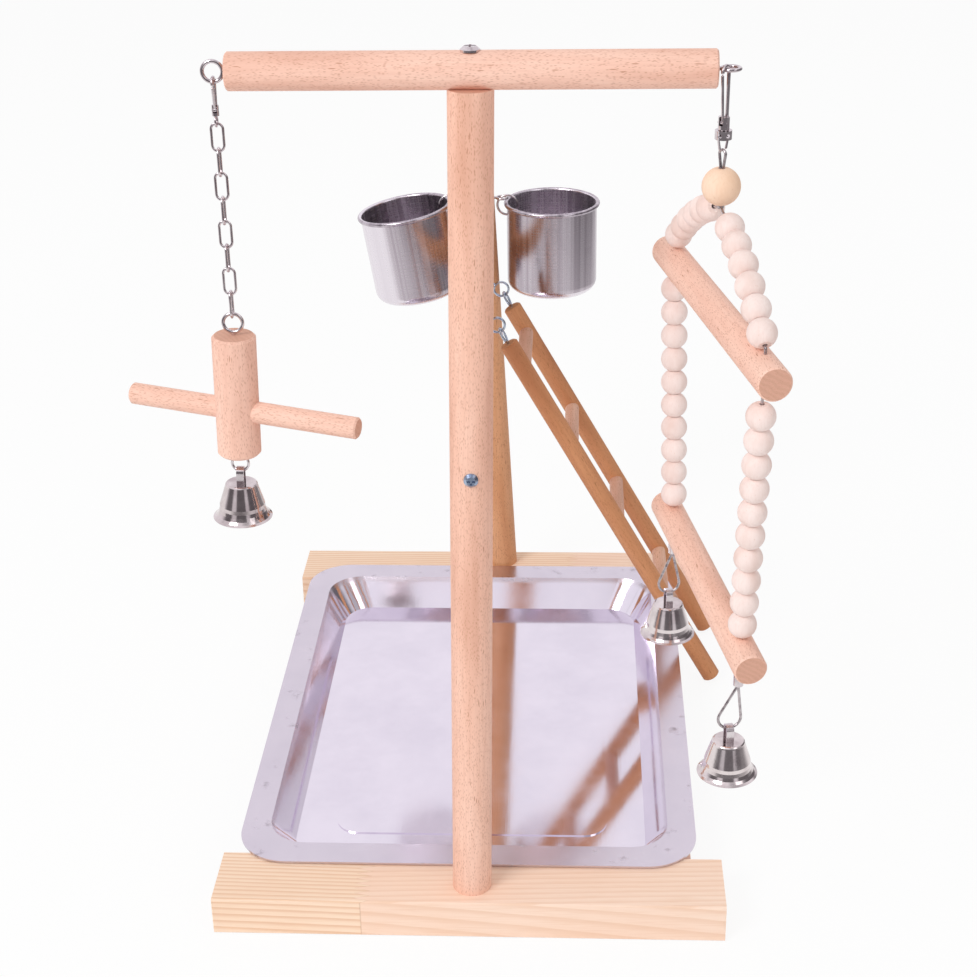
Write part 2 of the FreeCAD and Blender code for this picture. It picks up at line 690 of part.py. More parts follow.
# Local frame: origin on the hinge line at the near rail, local -Z down the rails, local Y rearward.
LADDER = [move(HINGE_X, "ladder_y", HINGE_Z), turn("Y", f"{LADDER_SLOPE} - 90")]
RAIL_EYE = "(ladder_eye_ring - ladder_eye_wire - link_play)"
RAIL_TOP = f"({RAIL_EYE} + ladder_eye_ring / 2 + eye_neck)"
LADDER_LENGTH = (f"(({HINGE_Z} - ladder_floor_gap - ladder_rail / 2 * cos({LADDER_SLOPE}))"
                 f" / sin({LADDER_SLOPE}) - {RAIL_TOP})")
LADDER_RAILS = (("near", "0"), ("far", "ladder_width"))

ladder_rail_eyes = node(group(
    "ladder_rail_eyes",
    *[eye_screw(f"{name}_rail_eye", "ladder_eye_ring", "ladder_eye_wire",
                [*LADDER, move(0, offset, f"-{RAIL_EYE}"), turn("Z", 90)])
      for name, offset in LADDER_RAILS]))

ladder_rungs = node(group("ladder_rungs", *[
    dowel(f"rung_{index + 1}", "ladder_rung", "ladder_width - ladder_rail + 2 * rung_socket", "0.4",
          *LADDER, move(0, "ladder_rail / 2 - rung_socket",
                        f"-{RAIL_TOP} - rung_first - rung_pitch * {index}"), turn("X", -90))
    for index in range(RUNGS)]))

ladder_rails = [
    node(cut(f"{name}_ladder_rail",
             dowel(f"{name}_rail_round", "ladder_rail", LADDER_LENGTH, "dowel_edge", *LADDER,
                   move(0, offset, f"-{RAIL_TOP} - {LADDER_LENGTH}")),
             ladder_rungs, ladder_rail_eyes))
    for name, offset in LADDER_RAILS]

# ---------------------------------------------------------------- cups
# A ring hangs in each post eye and carries the cup by a hole under its lip.
CUP_RING_Z = "(cup_eye_height - (cup_ring - cup_ring_wire - cup_eye_wire) / 2 + link_play)"
CUP_HANG_Z = f"({CUP_RING_Z} - cup_ring / 2)"


def make_cup(side, sign, tilt):
    """Steel cup with a rolled lip, hung at the foot of its ring."""
    label = f"{side}_cup"
    radius = "cup_diameter / 2"
    hang_x = f"({cup_eye_x(sign)} + ({sign}) * cup_eye_ring / 2)"
    frame = [move(hang_x, "rear_post_y", CUP_HANG_Z), turn("Y", f"({sign}) * {tilt}"),
             move(f"({sign}) * ({radius} - cup_sheet / 2)", 0,
                  "cup_hole_drop - cup_hole / 2 + cup_ring_wire / 2 + 1.5 * link_play")]
    body = doc.addObject("PartDesign::Body", f"{label}_pressing")
    sketch = new_sketch(body, f"{label}_profile", "XZ_Plane")
    polygon(sketch, [("0", "-cup_height"), (radius, "-cup_height"), (radius, "0"), ("0", "0")])
    blank = body.newObject("PartDesign::Revolution", f"{label}_blank")
    blank.Profile = sketch
    blank.ReferenceAxis = (sketch, ["V_Axis"])
    blank.Angle = 360
    doc.recompute()
    foot = [f"Edge{number + 1}" for number, edge in enumerate(blank.Shape.Edges)
            if edge.BoundBox.ZMax < -SIZES["cup_height"] / 2 and edge.BoundBox.XLength > 1
            and len(edge.Vertexes) == 1]
    rounding = body.newObject("PartDesign::Fillet", f"{label}_rounding")
    rounding.Base = (blank, foot)
    bind(rounding, Radius="cup_bottom_radius")
    doc.recompute()
    mouth = [f"Face{number + 1}" for number, face in enumerate(rounding.Shape.Faces)
             if abs(face.BoundBox.ZMin) < 1e-6]
    wall = body.newObject("PartDesign::Thickness", f"{label}_wall")
    wall.Base = (rounding, mouth)
    wall.Mode = 0
    wall.Join = 0
    wall.Reversed = True
    bind(wall, Value="cup_sheet")
    seat(body, *frame)
    lip = primitive("Torus", f"{label}_lip", frame, Radius1=f"{radius} + cup_lip - cup_sheet",
                    Radius2="cup_lip")
    drill = cylinder(f"{label}_drill", [*frame, move(0, 0, "-cup_hole_drop"), turn("Y", f"({sign}) * -90"),
                                        move(0, 0, f"{radius} - 5")], "cup_hole", "10")
    return node(cut(label, joined(f"{label}_whole", body, lip), drill))


for side, sign in SIDES:
    node(ring(f"{side}_cup_ring",
              [move(f"{cup_eye_x(sign)} + ({sign}) * cup_eye_ring / 2", "rear_post_y", CUP_RING_Z)],
              "cup_ring", "cup_ring_wire"))
    make_cup(side, sign, f"{side}_cup_tilt")


# ---------------------------------------------------------------- snap hooks
def snap_hook(label, steps, held, name):
    """Hook and gate in the local YZ plane; the local origin is the held wire's centre.

    Returns the hook's pieces (the barrel slotted for the gate) and the gate.
    """
    width, wire, length = f"{name}_width", f"{name}_wire", f"{name}_length"
    barrel, barrel_length = f"{name}_barrel", f"{name}_barrel_length"
    bow_z = f"(link_play - ({width} - {wire} - {held}) / 2)"
    gate, knuckle, thick = f"({wire} * 0.8)", f"({wire} * 0.8 + 0.5)", f"({wire} * 0.88)"
    pivot_y, pivot_z = f"({barrel} * 0.2)", f"({barrel_length} * 0.55 - {length})"
    bow = half_ring(f"{label}_bow", [*steps, move(0, 0, bow_z), turn("Z", 90)], width, wire)
    ends = [primitive("Sphere", f"{label}_{end}", [*steps, move(0, f"({sign}) * {width} / 2", bow_z)],
                      Radius=f"{wire} / 2")
            for end, sign in (("elbow", "1"), ("nose", "-1"))]
    foot_y, foot_z = f"({barrel} * 0.42)", f"({barrel_length} * 0.3 - {length})"
    run, rise = f"({width} / 2 - {foot_y})", f"({bow_z} - {foot_z})"
    lean = f"-(atan({run} / {rise}) / 1 deg)"
    spine = cylinder(f"{label}_spine", [*steps, move(0, foot_y, foot_z), turn("X", lean)],
                     wire, f"sqrt({run} ^ 2 + {rise} ^ 2)")
    sleeve = cylinder(f"{label}_sleeve", [*steps, move(0, 0, f"-{length}")], barrel, barrel_length)
    slot_floor = f"({pivot_z} - {knuckle} / 2 - gate_play)"
    slot_wall = f"({knuckle} / 2 + gate_play - {pivot_y})"
    slot = box(f"{label}_slot", [*steps, move(0, f"{slot_wall} - {barrel}", slot_floor)],
               f"{thick} + 2 * gate_play", f"2 * {barrel}", barrel_length)
    pin = cylinder(f"{label}_pin", [*steps, move(f"-{barrel} * 0.45", f"-{pivot_y}", pivot_z), turn("Y", 90)],
                   f"{gate} * 0.6", f"{barrel} * 0.9")
    hook = [bow, *ends, spine, cut(f"{label}_slotted", sleeve, slot), pin]

    tip_z = f"({bow_z} - {wire} / 2 - gate_play - {gate} / 2)"
    lean, reach = f"({width} / 2 - {pivot_y})", f"({tip_z} - {pivot_z})"
    slant = turn("X", f"(atan({lean} / {reach}) / 1 deg)")
    arm = cylinder(f"{label}_gate_arm",
                   [*steps, move(0, f"-{pivot_y}", pivot_z), slant, move(0, 0, f"{gate} * 0.4")],
                   gate, f"sqrt({lean} ^ 2 + {reach} ^ 2) - {gate} * 0.4")
    tip = primitive("Sphere", f"{label}_gate_tip", [*steps, move(0, f"-{width} / 2", tip_z)],
                    Radius=f"{gate} / 2")
    knuckle_round = cylinder(f"{label}_knuckle",
                             [*steps, move(f"-{thick} / 2", f"-{pivot_y}", pivot_z), turn("Y", 90)],
                             knuckle, thick)
    bore = cylinder(f"{label}_gate_bore",
                    [*steps, move(f"-{gate}", f"-{pivot_y}", pivot_z), turn("Y", 90)],
                    f"{gate} * 0.6 + 0.16", f"2 * {gate}")
    leaf = cut(f"{label}_gate", joined(f"{label}_gate_whole", arm, tip, knuckle_round), bore)
    return hook, leaf


# ---------------------------------------------------------------- chain and block toy
CLIP = [move(f"{CROSSBAR_X} - crossbar_length / 2 - eye_neck - end_eye_ring / 2", "front_post_y",
             "crossbar_height - end_eye_ring / 2")]
clip_pieces, clip_gate = snap_hook("chain_clip", CLIP, "end_eye_wire", "clip")
clip_loop = ring("chain_clip_loop", [*CLIP, move(0, 0, "-clip_length - clip_loop / 2"), turn("Z", 90)],
                 "clip_loop", "clip_loop_wire")
node(joined("chain_clip", *clip_pieces, clip_loop))
node(clip_gate)


def oval_link(label, steps, width="link_width"):
    """Chain link in the local XZ plane; the local origin is its topmost centreline."""
    straight = f"(link_inside + link_wire - {width})"
    top = half_ring(f"{label}_top", [*steps, move(0, 0, f"-{width} / 2")], width, "link_wire")
    foot = half_ring(f"{label}_foot", [*steps, move(0, 0, f"-{width} / 2 - {straight}"), turn("Y", 180)],
                     width, "link_wire")
    legs = [cylinder(f"{label}_leg_{name}",
                     [*steps, move(f"({sign}) * {width} / 2", 0, f"-{width} / 2 - {straight}")],
                     "link_wire", straight)
            for name, sign in (("a", "-1"), ("b", "1"))]
    return joined(label, top, foot, *legs)


LINK_PITCH = "(link_inside - link_play)"
FIRST_LINK = "(clip_length + clip_loop - clip_loop_wire / 2 - link_wire / 2 - link_play)"
for index in range(CHAIN_LINKS):
    place = [*CLIP, move(0, 0, f"-{FIRST_LINK} - {index} * {LINK_PITCH}")]
    node(oval_link(f"chain_link_{index + 1}", place + ([turn("Z", 90)] if index % 2 else [])))

# The block's eye hangs on the last link's foot; the toy's frame starts there.
CHAIN_FOOT = f"({FIRST_LINK} + {CHAIN_LINKS - 1} * {LINK_PITCH} + link_inside + link_wire)"
TOY = [*CLIP, move(0, 0, f"-{CHAIN_FOOT}"), turn("Y", "block_tilt")]
BLOCK_EYE = "(toy_eye_ring / 2 - toy_eye_wire / 2 - link_wire / 2 - link_play)"
BLOCK_TOP = f"({BLOCK_EYE} + toy_eye_ring / 2 + eye_neck)"
BELL_EYE = f"({BLOCK_TOP} + block_length + eye_neck + bell_eye_ring / 2)"
toy_top_eye = node(eye_screw("toy_top_eye", "toy_eye_ring", "toy_eye_wire",
                             [*TOY, move(0, 0, f"-{BLOCK_EYE}")]))
toy_bottom_eye = node(eye_screw("toy_bottom_eye", "bell_eye_ring", "bell_eye_wire",
                                [*TOY, move(0, 0, f"-{BELL_EYE}"), turn("X", 180)]))
toy_cross_perch = node(dowel(
    "toy_cross_perch", "cross_perch_diameter", "cross_perch_length", "dowel_edge", *TOY,
    move(0, 0, f"-{BLOCK_TOP} - cross_perch_drop"), turn("Z", "cross_perch_turn"),
    turn("Y", "90 + cross_perch_dip"), move(0, 0, "cross_perch_shift - cross_perch_length / 2")))
node(cut("toy_block",
         dowel("toy_block_round", "block_diameter", "block_length", "block_edge", *TOY,
               move(0, 0, f"-{BLOCK_TOP} - block_length")),
         toy_top_eye, toy_bottom_eye, toy_cross_perch))


# ---------------------------------------------------------------- bells
def bell_profile():
    """Half section of a bell: flare, waist, rounded crown, then back down the inside."""
    flare = []
    for degrees in range(FLARE_STEP, 91, FLARE_STEP):
        out = (1 - math.sin(math.radians(degrees))) / (1 - math.sin(math.radians(FLARE_STEP)))
        up = 1 - math.cos(math.radians(degrees)) / math.cos(math.radians(FLARE_STEP))
        radius = f"bell_waist + (bell_rim - bell_waist) * {out:.4f}"
        flare.append((radius, f"bell_flare * {up:.4f} - bell_height"))
    crown = [(f"bell_crown + bell_edge * {math.cos(math.radians(degrees)) - 1:.4f}",
              f"bell_edge * {math.sin(math.radians(degrees)) - 1:.4f}")
             for degrees in range(0, 91, CROWN_STEP)]
    inside = [("0", "-bell_sheet"), ("bell_crown - bell_edge", "-bell_sheet"),
              ("bell_crown - bell_sheet", "-bell_edge")]
    inside += [(f"{radius} - bell_sheet", height) for radius, height in reversed(flare)]
    return flare + crown + [("0", "0")] + inside


def make_bell(label, steps, wire, bend):
    """Bell, strap and clapper hung on a wire that runs along local X and curves up at its sides.

    The local origin is the wire's lowest centreline point, bend its centreline radius.
    """
    inner = f"(({bend}) - ({wire}) / 2)"
    sagitta = f"({inner} - sqrt({inner} ^ 2 - (strap_width / 2) ^ 2))"
    strap_top = f"(({wire}) / 2 + {sagitta} + link_play)"
    crown = [*steps, move(0, 0, f"{strap_top} - strap_rise")]

    arch_z = "(strap_rise - strap_bend)"
    pieces = []
    for name, radius in (("outer", "(strap_bend + strap_sheet)"), ("inner", "strap_bend")):
        across = "strap_width" if name == "outer" else "2 * strap_width"
        drum = cylinder(f"{label}_strap_{name}_drum",
                        [*crown, move(f"-({across}) / 2", 0, arch_z), turn("Y", 90)], f"2 * {radius}", across)
        slab = box(f"{label}_strap_{name}_slab",
                   [*crown, move(0, 0, "-strap_tail" if name == "outer" else "-2 * strap_tail")],
                   across, f"2 * {radius}",
                   f"{arch_z} + strap_tail" if name == "outer" else f"{arch_z} + 2 * strap_tail")
        pieces.append(joined(f"{label}_strap_{name}", drum, slab))
    pin_z = "(strap_tail - strap_sheet)"
    pin = cylinder(f"{label}_clapper_pin",
                   [*crown, move(0, "strap_bend + strap_sheet / 2", f"-{pin_z}"), turn("X", 90)],
                   "clapper_wire", "2 * strap_bend + strap_sheet")
    strap = node(joined(f"{label}_strap", cut(f"{label}_strap_band", *pieces), pin))

    shell = turned(f"{label}_shell", bell_profile(), *crown)
    node(cut(label, shell, strap))

    hang = [*crown, move(0, 0, f"-{pin_z} + clapper_wire + link_play / 2 - clapper_ring / 2")]
    ring_top = ring(f"{label}_clapper_ring", hang, "clapper_ring", "clapper_wire")
    rod = cylinder(f"{label}_clapper_rod", [*hang, move(0, 0, "-clapper_drop")], "clapper_wire",
                   "clapper_drop - clapper_ring / 2")
    ball = primitive("Sphere", f"{label}_clapper_ball", [*hang, move(0, 0, "-clapper_drop")],
                     Radius="clapper_diameter / 2")
    node(joined(f"{label}_clapper", ring_top, rod, ball))


make_bell("toy_bell", [*TOY, move(0, 0, f"-{BELL_EYE} - bell_eye_ring / 2")], "bell_eye_wire",
          "bell_eye_ring / 2")

# ---------------------------------------------------------------- swing: clasp and swivel
HOOK = [move(f"{CROSSBAR_X} + crossbar_length / 2 + eye_neck + side_eye_ring / 2 * (1 + cos(hook_turn))",
             "front_post_y + side_eye_ring / 2 * sin(hook_turn)", "crossbar_height")]
CLASP = [*HOOK, turn("Z", "hook_turn + 90")]
clasp_pieces, clasp_gate = snap_hook("swing_clasp", CLASP, "side_eye_wire", "clasp")
COLLAR_TOP = "(clasp_length + collar_gap)"
swivel_stem = cylinder("swing_clasp_stem", [*CLASP, move(0, 0, f"-{COLLAR_TOP} - collar_height * 0.4")],
                       "swivel_pin", "collar_gap + collar_height * 0.6")
swivel_button = cylinder("swing_clasp_button",
                         [*CLASP, move(0, 0, f"-{COLLAR_TOP} - collar_height * 0.62")], "swivel_head",
                         "collar_height * 0.32")
node(joined("swing_clasp", *clasp_pieces, swivel_stem, swivel_button))
node(clasp_gate)

SWIVEL = [*HOOK, turn("Z", "swivel_turn")]
collar_blank = cylinder("collar_blank", [*SWIVEL, move(0, 0, f"-{COLLAR_TOP} - collar_height")],
                        "collar_diameter", "collar_height")
collar_bore = cylinder("collar_bore", [*SWIVEL, move(0, 0, f"-{COLLAR_TOP} - collar_height * 0.5")],
                       "swivel_pin + 2 * swivel_fit", "collar_height")
collar_room = cylinder("collar_room", [*SWIVEL, move(0, 0, f"-{COLLAR_TOP} - collar_height * 0.8")],
                       "swivel_head + 1", "collar_height * 0.56")
collar_windows = [
    cylinder(f"collar_window_{name}",
             [*HOOK, move(f"({sign}) * collar_diameter * 0.24", "collar_diameter",
                          f"-{COLLAR_TOP} - collar_height * 0.52"), turn("X", 90)],
             "collar_height * 0.45", "2 * collar_diameter")
    for name, sign in (("a", "-1"), ("b", "1"))]
LOOP_FOOT = f"({COLLAR_TOP} + collar_height + swivel_drop)"
loop_run = "((swivel_loop - swivel_foot) / 2)"
loop_rise = "(swivel_drop - swivel_foot / 2 + swivel_wire / 3)"
swivel_legs = []
for name, sign in (("a", "-1"), ("b", "1")):
    corner = [*SWIVEL, move(f"({sign}) * swivel_foot / 2", 0, f"-{LOOP_FOOT} + swivel_foot / 2")]
    swivel_legs.append(cylinder(f"swivel_leg_{name}",
                                [*corner, turn("Y", f"({sign}) * (atan({loop_run} / {loop_rise}) / 1 deg)")],
                                "swivel_wire", f"sqrt({loop_run} ^ 2 + {loop_rise} ^ 2)"))
    swivel_legs.append(primitive("Sphere", f"swivel_corner_{name}", corner, Radius="swivel_wire / 2"))
swivel_bow = half_ring("swivel_bow", [*SWIVEL, move(0, 0, f"-{LOOP_FOOT} + swivel_foot / 2"),
                                      turn("Y", 180)], "swivel_foot", "swivel_wire")
node(joined("swing_swivel", cut("collar", collar_blank, collar_bore, collar_room, *collar_windows),
            *swivel_legs, swivel_bow))

# ---------------------------------------------------------------- swing: top bead and upper strings
# Local frame: origin at the swivel loop's foot, local Y along the bars towards the rear.
SWING = [*HOOK, move(0, 0, f"-{LOOP_FOOT}"), turn("Z", "swing_turn")]
CABLE_LOOP = [*HOOK, move(0, 0, f"-{LOOP_FOOT}"), turn("Z", "swivel_turn + 90")]
loop_top = "((swivel_wire + cable) / 2 + link_play - cable_loop / 2)"
SLEEVE_TOP = "(top_bead_drop - top_bead_diameter * 0.47 - 0.4)"
APEX = "(top_bead_drop + top_bead_diameter / 2 + apex_gap)"
cable_pieces = [half_ring("cable_loop_bow", [*CABLE_LOOP, move(0, 0, loop_top)], "cable_loop", "cable")]
leg_run = "(cable_loop / 2 - (sleeve - cable) / 2)"
leg_rise = f"({SLEEVE_TOP} + {loop_top})"
for name, sign in (("a", "-1"), ("b", "1")):
    corner = [*CABLE_LOOP, move(f"({sign}) * cable_loop / 2", 0, loop_top)]
    cable_pieces.append(primitive("Sphere", f"cable_loop_corner_{name}", corner, Radius="cable / 2"))
    leg_turn = f"180 + ({sign}) * (atan({leg_run} / {leg_rise}) / 1 deg)"
    cable_pieces.append(cylinder(f"cable_loop_leg_{name}", [*corner, turn("Y", leg_turn)],
                                 "cable", f"sqrt({leg_run} ^ 2 + {leg_rise} ^ 2)"))
cable_pieces.append(cylinder("cable_sleeve", [*SWING, move(0, 0, f"-{APEX} - cable / 2")], "sleeve",
                             f"{APEX} + cable / 2 - {SLEEVE_TOP}"))

ENDS = (("far", []), ("near", [turn("Z", 180)]))
ARC_CENTRE = move(0, "-upper_arc * sin(upper_arc_start)", f"-{APEX} - upper_arc * cos(upper_arc_start)")
HOLE_PLACE = "(upper_arc * (sin(upper_arc_end) - sin(upper_arc_start)))"
ARC_FALL = "(upper_arc * (cos(upper_arc_start) - cos(upper_arc_end)))"
UPPER_BAR = f"({APEX} + {ARC_FALL} + bar_gap + swing_bar_diameter / 2)"
for name, side in ENDS:
    arc = primitive("Torus", f"{name}_upper_arc",
                    [*SWING, *side, ARC_CENTRE, turn("X", "180 - upper_arc_end"), turn("Y", 90)],
                    Radius1="upper_arc", Radius2="cable / 2", Angle3="upper_arc_end - upper_arc_start")
    elbow = [*SWING, *side, move(0, HOLE_PLACE, f"-{APEX} - {ARC_FALL}")]
    drop = f"(bar_gap + swing_bar_diameter / 2)"
    cable_pieces += [arc, primitive("Sphere", f"{name}_upper_elbow", elbow, Radius="cable / 2"),
                     cylinder(f"{name}_upper_drop", [*elbow, move(0, 0, f"-{drop}")], "cable", drop)]
swing_cable = node(joined("swing_cable", *cable_pieces))


def bead_blank(label, diameter, length, bore, steps):
    """Wooden bead: ball with flat ends, bored along local Z."""
    cap = f"(asin(({length}) / ({diameter})) / 1 deg)"
    ball = primitive("Sphere", f"{label}_ball", steps, Radius=f"({diameter}) / 2", Angle1=f"-{cap}",
                     Angle2=cap)
    hole = cylinder(f"{label}_bore", [*steps, move(0, 0, f"-({diameter})")], bore, f"2 * ({diameter})")
    return cut(label, ball, hole)


top_bead = node(bead_blank("swing_top_bead", "top_bead_diameter", "top_bead_diameter * 0.94",
                           "sleeve + 0.1", [*SWING, move(0, 0, "-top_bead_drop")]))

bead_pattern = bead_blank("bead_pattern", "bead_diameter", "bead_length", "bead_bore", [])


def bead_row(name, places):
    """Beads like the pattern at a list of places."""
    beads = []
    for index, steps in enumerate(places):
        link = doc.addObject("App::Link", f"{name}_{index + 1}")
        link.LinkedObject = bead_pattern
        link.LinkTransform = False
        link.setExpression("LinkPlacement", term(" * ".join(steps)))
        beads.append(link)
    return beads


upper_beads = []
for name, side in ENDS:
    upper_beads += bead_row(f"{name}_upper_bead", [
        [*SWING, *side, ARC_CENTRE,
         turn("X", f"-upper_arc_start - (first_bead_place + {index} * bead_pitch) / upper_arc * 57.29578"),
         move(0, 0, "upper_arc"), turn("X", -90)]
        for index in range(UPPER_BEADS)])
node(group("upper_string_beads", *upper_beads))

# ---------------------------------------------------------------- swing: bars and lower strings
LOWER_BAR = f"({UPPER_BAR} + lower_drop)"
PIVOT = f"({UPPER_BAR} + swing_bar_diameter / 2 - pivot_depth)"
upper_holes = []
for name, side in ENDS:
    upper_holes.append(cylinder(f"{name}_upper_hole", [*SWING, *side, move(0, HOLE_PLACE,
                                f"-{UPPER_BAR} - swing_bar_diameter")], "bead_bore",
                                "swing_bar_diameter"))
upper_bar = node(cut("upper_swing_bar",
                     dowel("upper_bar_round", "swing_bar_diameter", "upper_bar_length", "dowel_edge",
                           *SWING, move(0, "-upper_bar_length / 2", f"-{UPPER_BAR}"), turn("X", -90)),
                     *upper_holes, swing_cable))

lower_lengths = []
lower_beads = []
crimps = []
bell_places = {}
for name, sign in (("far", "1"), ("near", "-1")):
    foot_y = f"(({sign}) * lower_spread * cos(lower_bar_tilt))"
    foot_z = f"({LOWER_BAR} - ({sign}) * lower_spread * sin(lower_bar_tilt))"
    run = f"(({sign}) * {HOLE_PLACE} - {foot_y})"
    rise = f"({foot_z} - {PIVOT})"
    length = f"sqrt({run} ^ 2 + {rise} ^ 2)"
    lower_pieces = []
    string = [*SWING, move(0, foot_y, f"-{foot_z}"), turn("X", f"-(atan({run} / {rise}) / 1 deg)")]
    lower_pieces.append(cylinder(f"{name}_lower_string", string, "cable", f"{length} + pivot_depth * 0.6"))
    lower_pieces.append(primitive("Sphere", f"{name}_string_bend", string, Radius="cable / 2"))
    lower_beads += bead_row(f"{name}_lower_bead", [
        [*string, move(0, 0, "swing_bar_diameter / 2 + bead_seat + bead_length / 2 + "
                             f"{index} * bead_pitch")] for index in range(LOWER_BEADS)])
    below = "(swing_bar_diameter / 2 + crimp_drop)"
    plumb = [*SWING, move(0, foot_y, f"-{foot_z}")]
    lower_pieces.append(cylinder(f"{name}_tail", [*plumb, move(0, 0, f"-{below} - crimp_length")], "cable",
                                 f"{below} + crimp_length"))
    crimp_blank = cylinder(f"{name}_crimp_round", [*plumb, move(0, 0, f"-{below} - crimp_length")],
                           "crimp_diameter", "crimp_length")
    loop_radius = "(bell_loop_width / 2 - cable / 2)"
    fall = f"(bell_loop_drop - {loop_radius})"
    spread = f"(asin({loop_radius} / {fall}) / 1 deg)"
    lean = f"{name}_loop_lean"
    apex = [*plumb, move(0, 0, f"-{below} - crimp_length"), turn("Y", lean)]
    for leg, way in (("a", "-1"), ("b", "1")):
        lower_pieces.append(cylinder(f"{name}_loop_{leg}", [*apex, turn("Y", f"180 + ({way}) * {spread}")],
                                     "cable", f"{fall} * cos({spread})"))
    lower_pieces.append(primitive("Sphere", f"{name}_loop_apex", apex, Radius="cable / 2"))
    lower_pieces.append(primitive(
        "Torus", f"{name}_loop_bow",
        [*apex, move(0, 0, f"-{fall}"), turn("X", 90), turn("Z", f"180 - {spread}")],
        Radius1=loop_radius, Radius2="cable / 2", Angle3=f"180 + 2 * {spread}"))
    lower_lengths.append(joined(f"{name}_lower_cable", *lower_pieces))
    crimps.append(crimp_blank)
    bell_places[name] = [*apex, move(0, 0, f"-{fall}"), turn("Y", f"-{lean}"), move(0, 0, f"-{loop_radius}")]
lower_cables = node(group("lower_cables", *lower_lengths))
node(group("lower_string_beads", *lower_beads))
node(cut("cable_crimps", group("crimp_blanks", *crimps), lower_cables))
node(cut("lower_swing_bar",
         dowel("lower_bar_round", "swing_bar_diameter", "lower_bar_length", "dowel_edge", *SWING,
               move(0, 0, f"-{LOWER_BAR}"), turn("X", "lower_bar_tilt"),
               move(0, "-lower_bar_length / 2", 0), turn("X", -90)),
         lower_cables))
for name, place in bell_places.items():
    make_bell(f"{name}_bell", place, "cable", loop_radius)

# ---------------------------------------------------------------- check and save
doc.recompute()
failed = [thing.Label for thing in doc.Objects if {"Invalid", "Error"} & set(thing.State)]
if failed:
    raise RuntimeError(f"objects failed to compute: {failed}")
os.makedirs("parts", exist_ok=True)
for made in NODES:
    if made.Shape.isNull() or not made.Shape.isValid():
        raise RuntimeError(f"{made.Label} has no valid shape")
    made.Shape.exportStep(f"parts/{made.Label}.step")
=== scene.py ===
"""Parrot play stand: camera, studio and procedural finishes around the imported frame."""

import math

import bpy
import numpy as np
from mathutils import Matrix, Vector


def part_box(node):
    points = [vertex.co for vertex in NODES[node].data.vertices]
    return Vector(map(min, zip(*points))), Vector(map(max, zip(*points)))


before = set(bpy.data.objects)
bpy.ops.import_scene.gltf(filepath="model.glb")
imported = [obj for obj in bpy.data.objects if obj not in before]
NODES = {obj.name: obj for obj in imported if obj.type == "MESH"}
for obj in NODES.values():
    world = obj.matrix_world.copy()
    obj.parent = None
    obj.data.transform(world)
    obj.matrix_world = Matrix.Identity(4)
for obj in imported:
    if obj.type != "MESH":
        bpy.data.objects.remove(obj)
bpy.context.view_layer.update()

# ------------------------------------------------------------------ camera
CAMERA_PLACE = Vector((0.0593, -0.8329, 0.6799))
CAMERA_YAW = -0.05293      # radians, to the left
CAMERA_PITCH = 0.4536      # down
CAMERA_ROLL = -0.01813
FOCAL_PIXELS = 1809.0
PHOTO_PIXELS = 977.0
SENSOR_WIDTH = 36.0        # mm
CAMERA_CLIP = (0.01, 50.0)  # metres


def make_camera():
    """The camera of the photograph, from its fitted place and angles."""
    data = bpy.data.cameras.new("photo_camera")
    data.sensor_fit = "HORIZONTAL"
    data.sensor_width = SENSOR_WIDTH
    data.lens = FOCAL_PIXELS / PHOTO_PIXELS * SENSOR_WIDTH
    data.clip_start, data.clip_end = CAMERA_CLIP
    cy, sy = math.cos(CAMERA_YAW), math.sin(CAMERA_YAW)
    cp, sp = math.cos(CAMERA_PITCH), math.sin(CAMERA_PITCH)
    cr, sr = math.cos(CAMERA_ROLL), math.sin(CAMERA_ROLL)
    forward = Vector((sy * cp, cy * cp, -sp))
    level = Vector((cy, -sy, 0.0))
    up = level.cross(forward)
    right = level * cr + up * sr
    top = up * cr - level * sr
    camera = bpy.data.objects.new("photo_camera", data)
    turned = Matrix((right, top, -forward)).transposed().to_4x4()
    camera.matrix_world = Matrix.Translation(CAMERA_PLACE) @ turned
    bpy.context.collection.objects.link(camera)
    bpy.context.scene.camera = camera


# ------------------------------------------------------------------ node helpers
def srgb(red, green, blue):
    """A colour written in 0-255 sRGB, as the linear RGBA that a shader takes."""
    linear = []
    for value in (red, green, blue):
        v = value / 255.0
        linear.append(v / 12.92 if v <= 0.04045 else ((v + 0.055) / 1.055) ** 2.4)
    return (*linear, 1.0)


